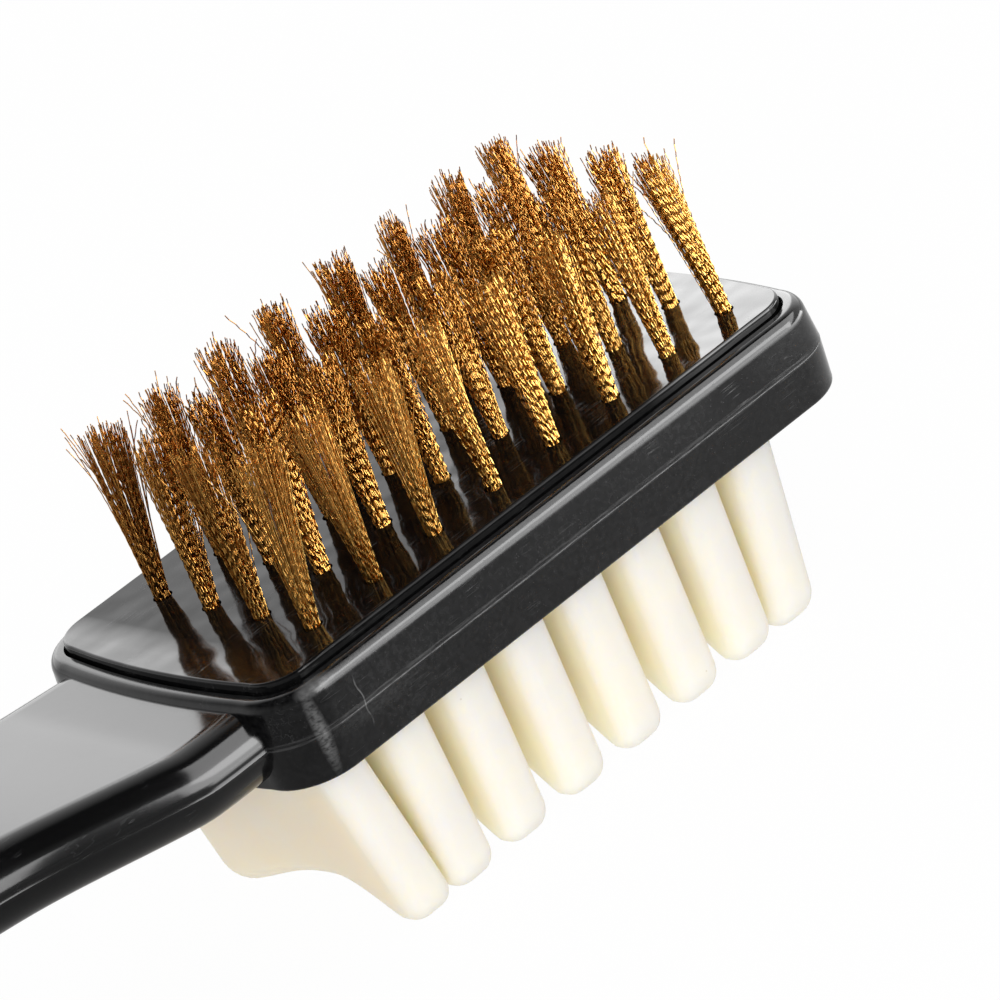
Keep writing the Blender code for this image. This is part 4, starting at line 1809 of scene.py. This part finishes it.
@dataclass(frozen=True)
class Softbox:
    """One soft lamp, aimed at the brush.

    Its side and height give the directions of its face's two edges. The lamp lies along the third.
    """

    name: str
    towards: Triplet
    upright: Triplet
    distance: float
    width: float
    height: float
    level: float
    diffuse: bool = False
    mirrored: bool = True

    def light(self, aim: Vector) -> None:
        """Hangs the lamp, with a power that gives its face the wanted level.

        Args:
            aim: the point that it faces.
        """
        lamp = bpy.data.lights.new(self.name, "AREA")
        lamp.shape = "RECTANGLE"
        lamp.size = self.width
        lamp.size_y = self.height
        lamp.energy = self.level * math.pi * self.width * self.height
        held = bpy.data.objects.new(self.name, lamp)
        back = Vector(self.towards).normalized()
        side = Vector(self.upright).cross(back).normalized()
        rise = back.cross(side)
        held.rotation_mode = "QUATERNION"
        held.rotation_quaternion = Matrix((side, rise, back)).transposed().to_quaternion()
        held.location = aim + back * self.distance
        held.visible_camera = False
        held.visible_diffuse = self.diffuse
        held.visible_glossy = self.mirrored
        bpy.context.scene.collection.objects.link(held)


@dataclass
class Studio:
    """The floor, the lamps, the white surroundings and the camera."""

    camera_place: Triplet = (-0.20989, -0.41583, 0.23515)
    camera_aim: Triplet = (0.04024, -0.01542, 0.02940)
    camera_roll: float = math.radians(-23.52)
    lens: float = 203.71
    sensor: float = 36.0
    clip: Span = (0.01, 20.0)
    floor_half: float = 2.0
    ambient: float = 0.70
    ceiling_rise: Span = (0.35, 0.75)
    ceiling_level: float = 0.05
    glow_towards: Triplet = (0.453, 0.785, 0.423)
    glow_reach: Span = (0.62, 0.96)
    glow_level: float = 1.6
    room_azimuth: float = math.radians(228)
    room_reach: Span = (0.2, 0.8)
    room_level: float = 0.35
    lamps: tuple[Softbox, ...] = (
        Softbox("back_box", (0.453, 0.785, 0.423), UPWARDS, 0.60, 0.50, 0.26, 0.9),
        Softbox("tip_box", (0.608, 0.703, 0.368), UPWARDS, 0.55, 0.17, 0.22, 2.6),
        Softbox("right_box", (0.684, -0.529, 0.512), (0.162, 0.825, 0.541), 1.00, 0.73, 0.97, 6.0),
        Softbox("low_box", (0.492, -0.835, 0.247), (0.0, 0.309, 0.951), 1.00, 0.77, 0.54, 9.0),
        Softbox("rib_fill", (-0.604, -0.720, 0.342), UPWARDS, 1.20, 0.50, 0.40, 12.4, True, False),
    )

    def camera(self) -> None:
        """Sets up the camera as the photograph was taken."""
        made = bpy.data.cameras.new("camera")
        made.sensor_width = self.sensor
        made.lens = self.lens
        made.clip_start, made.clip_end = self.clip
        held = bpy.data.objects.new("camera", made)
        held.location = self.camera_place
        held.rotation_mode = "QUATERNION"
        ahead = Vector(self.camera_aim) - Vector(self.camera_place)
        roll = Quaternion(UPWARDS, self.camera_roll)
        held.rotation_quaternion = ahead.to_track_quat("-Z", "Y") @ roll
        bpy.context.scene.collection.objects.link(held)
        bpy.context.scene.camera = held

    def floor(self) -> None:
        """Lays the floor that the ribs stand on."""
        half = self.floor_half
        mesh = bpy.data.meshes.new("floor")
        corners = [(-half, -half, 0.0), (half, -half, 0.0), (half, half, 0.0), (-half, half, 0.0)]
        mesh.from_pydata(corners, [], [(0, 1, 2, 3)])
        mesh.materials.append(StudioFloor().material())
        linked("floor", mesh)

    def surroundings(self) -> None:
        """Makes the world white where it is seen, and dimmer overhead, like a studio ceiling."""
        world = bpy.data.worlds.new("studio")
        bpy.context.scene.world = world
        world.use_nodes = True
        graph = Graph(world.node_tree)
        path = graph.outputs("ShaderNodeLightPath")
        direction = graph.call("ShaderNodeTexCoord", {}, "Generated")
        x, y, rise = direction.parts()
        facing = x * math.cos(self.room_azimuth) + y * math.sin(self.room_azimuth)
        mirrored = rise.spread(self.ceiling_rise, (1.0, self.ceiling_level))
        mirrored = mirrored * facing.spread(self.room_reach, (1.0, self.room_level))
        glow = direction.dot(self.glow_towards).spread(self.glow_reach, (0.0, self.glow_level))
        seen = graph.math("MAXIMUM", path["Is Glossy Ray"], path["Is Transmission Ray"])
        level = seen * (mirrored + glow - self.ambient) + self.ambient
        shown = path["Is Camera Ray"]
        background = world.node_tree.nodes["Background"]
        graph.feed(background.inputs["Color"], (1.0, 1.0, 1.0, 1.0))
        graph.feed(background.inputs["Strength"], level * (1.0 - shown) + shown)

    def build(self) -> None:
        """Sets up the whole studio."""
        self.camera()
        self.floor()
        self.surroundings()
        for lamp in self.lamps:
            lamp.light(Vector(self.camera_aim))
        bpy.context.scene.view_settings.view_transform = "Standard"
        LOG.info("studio: camera, floor and %d lamps", len(self.lamps))


def main() -> None:
    """Builds and dresses every piece in order."""
    logging.basicConfig(level=logging.INFO, format="%(name)s: %(message)s")
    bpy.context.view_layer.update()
    studio = Studio()
    studio.build()
    plan = HeadPlan()
    levels = Levels()
    layout = RubberPlan(plan)
    grid = TuftGrid(plan)

    moulding = HandleMoulding(plan, levels, layout)
    moulding.dress(moulding.build())

    plate = BrushPlate(plan, levels, grid)
    plate.dress(plate.build())

    rows, columns = grid.row_places, grid.column_places
    brass = CrimpedBrass(near_y=rows[0], far_y=rows[-1], root_x=columns[0], tip_x=columns[-1]).material()
    tufts = BrassTufts(levels, grid, HABITS)
    tufts.dress(tufts.build(brass), brass)

    rubber = CreamRubber(nose_y=layout.near_y, between_x=layout.shade_ends).material()
    ribs = RibbedRubber(levels, layout)
    ribs.dress(ribs.build(rubber), rubber)

    DrawnWires(grid.rows).dress()


if __name__ == "__main__":
    main()
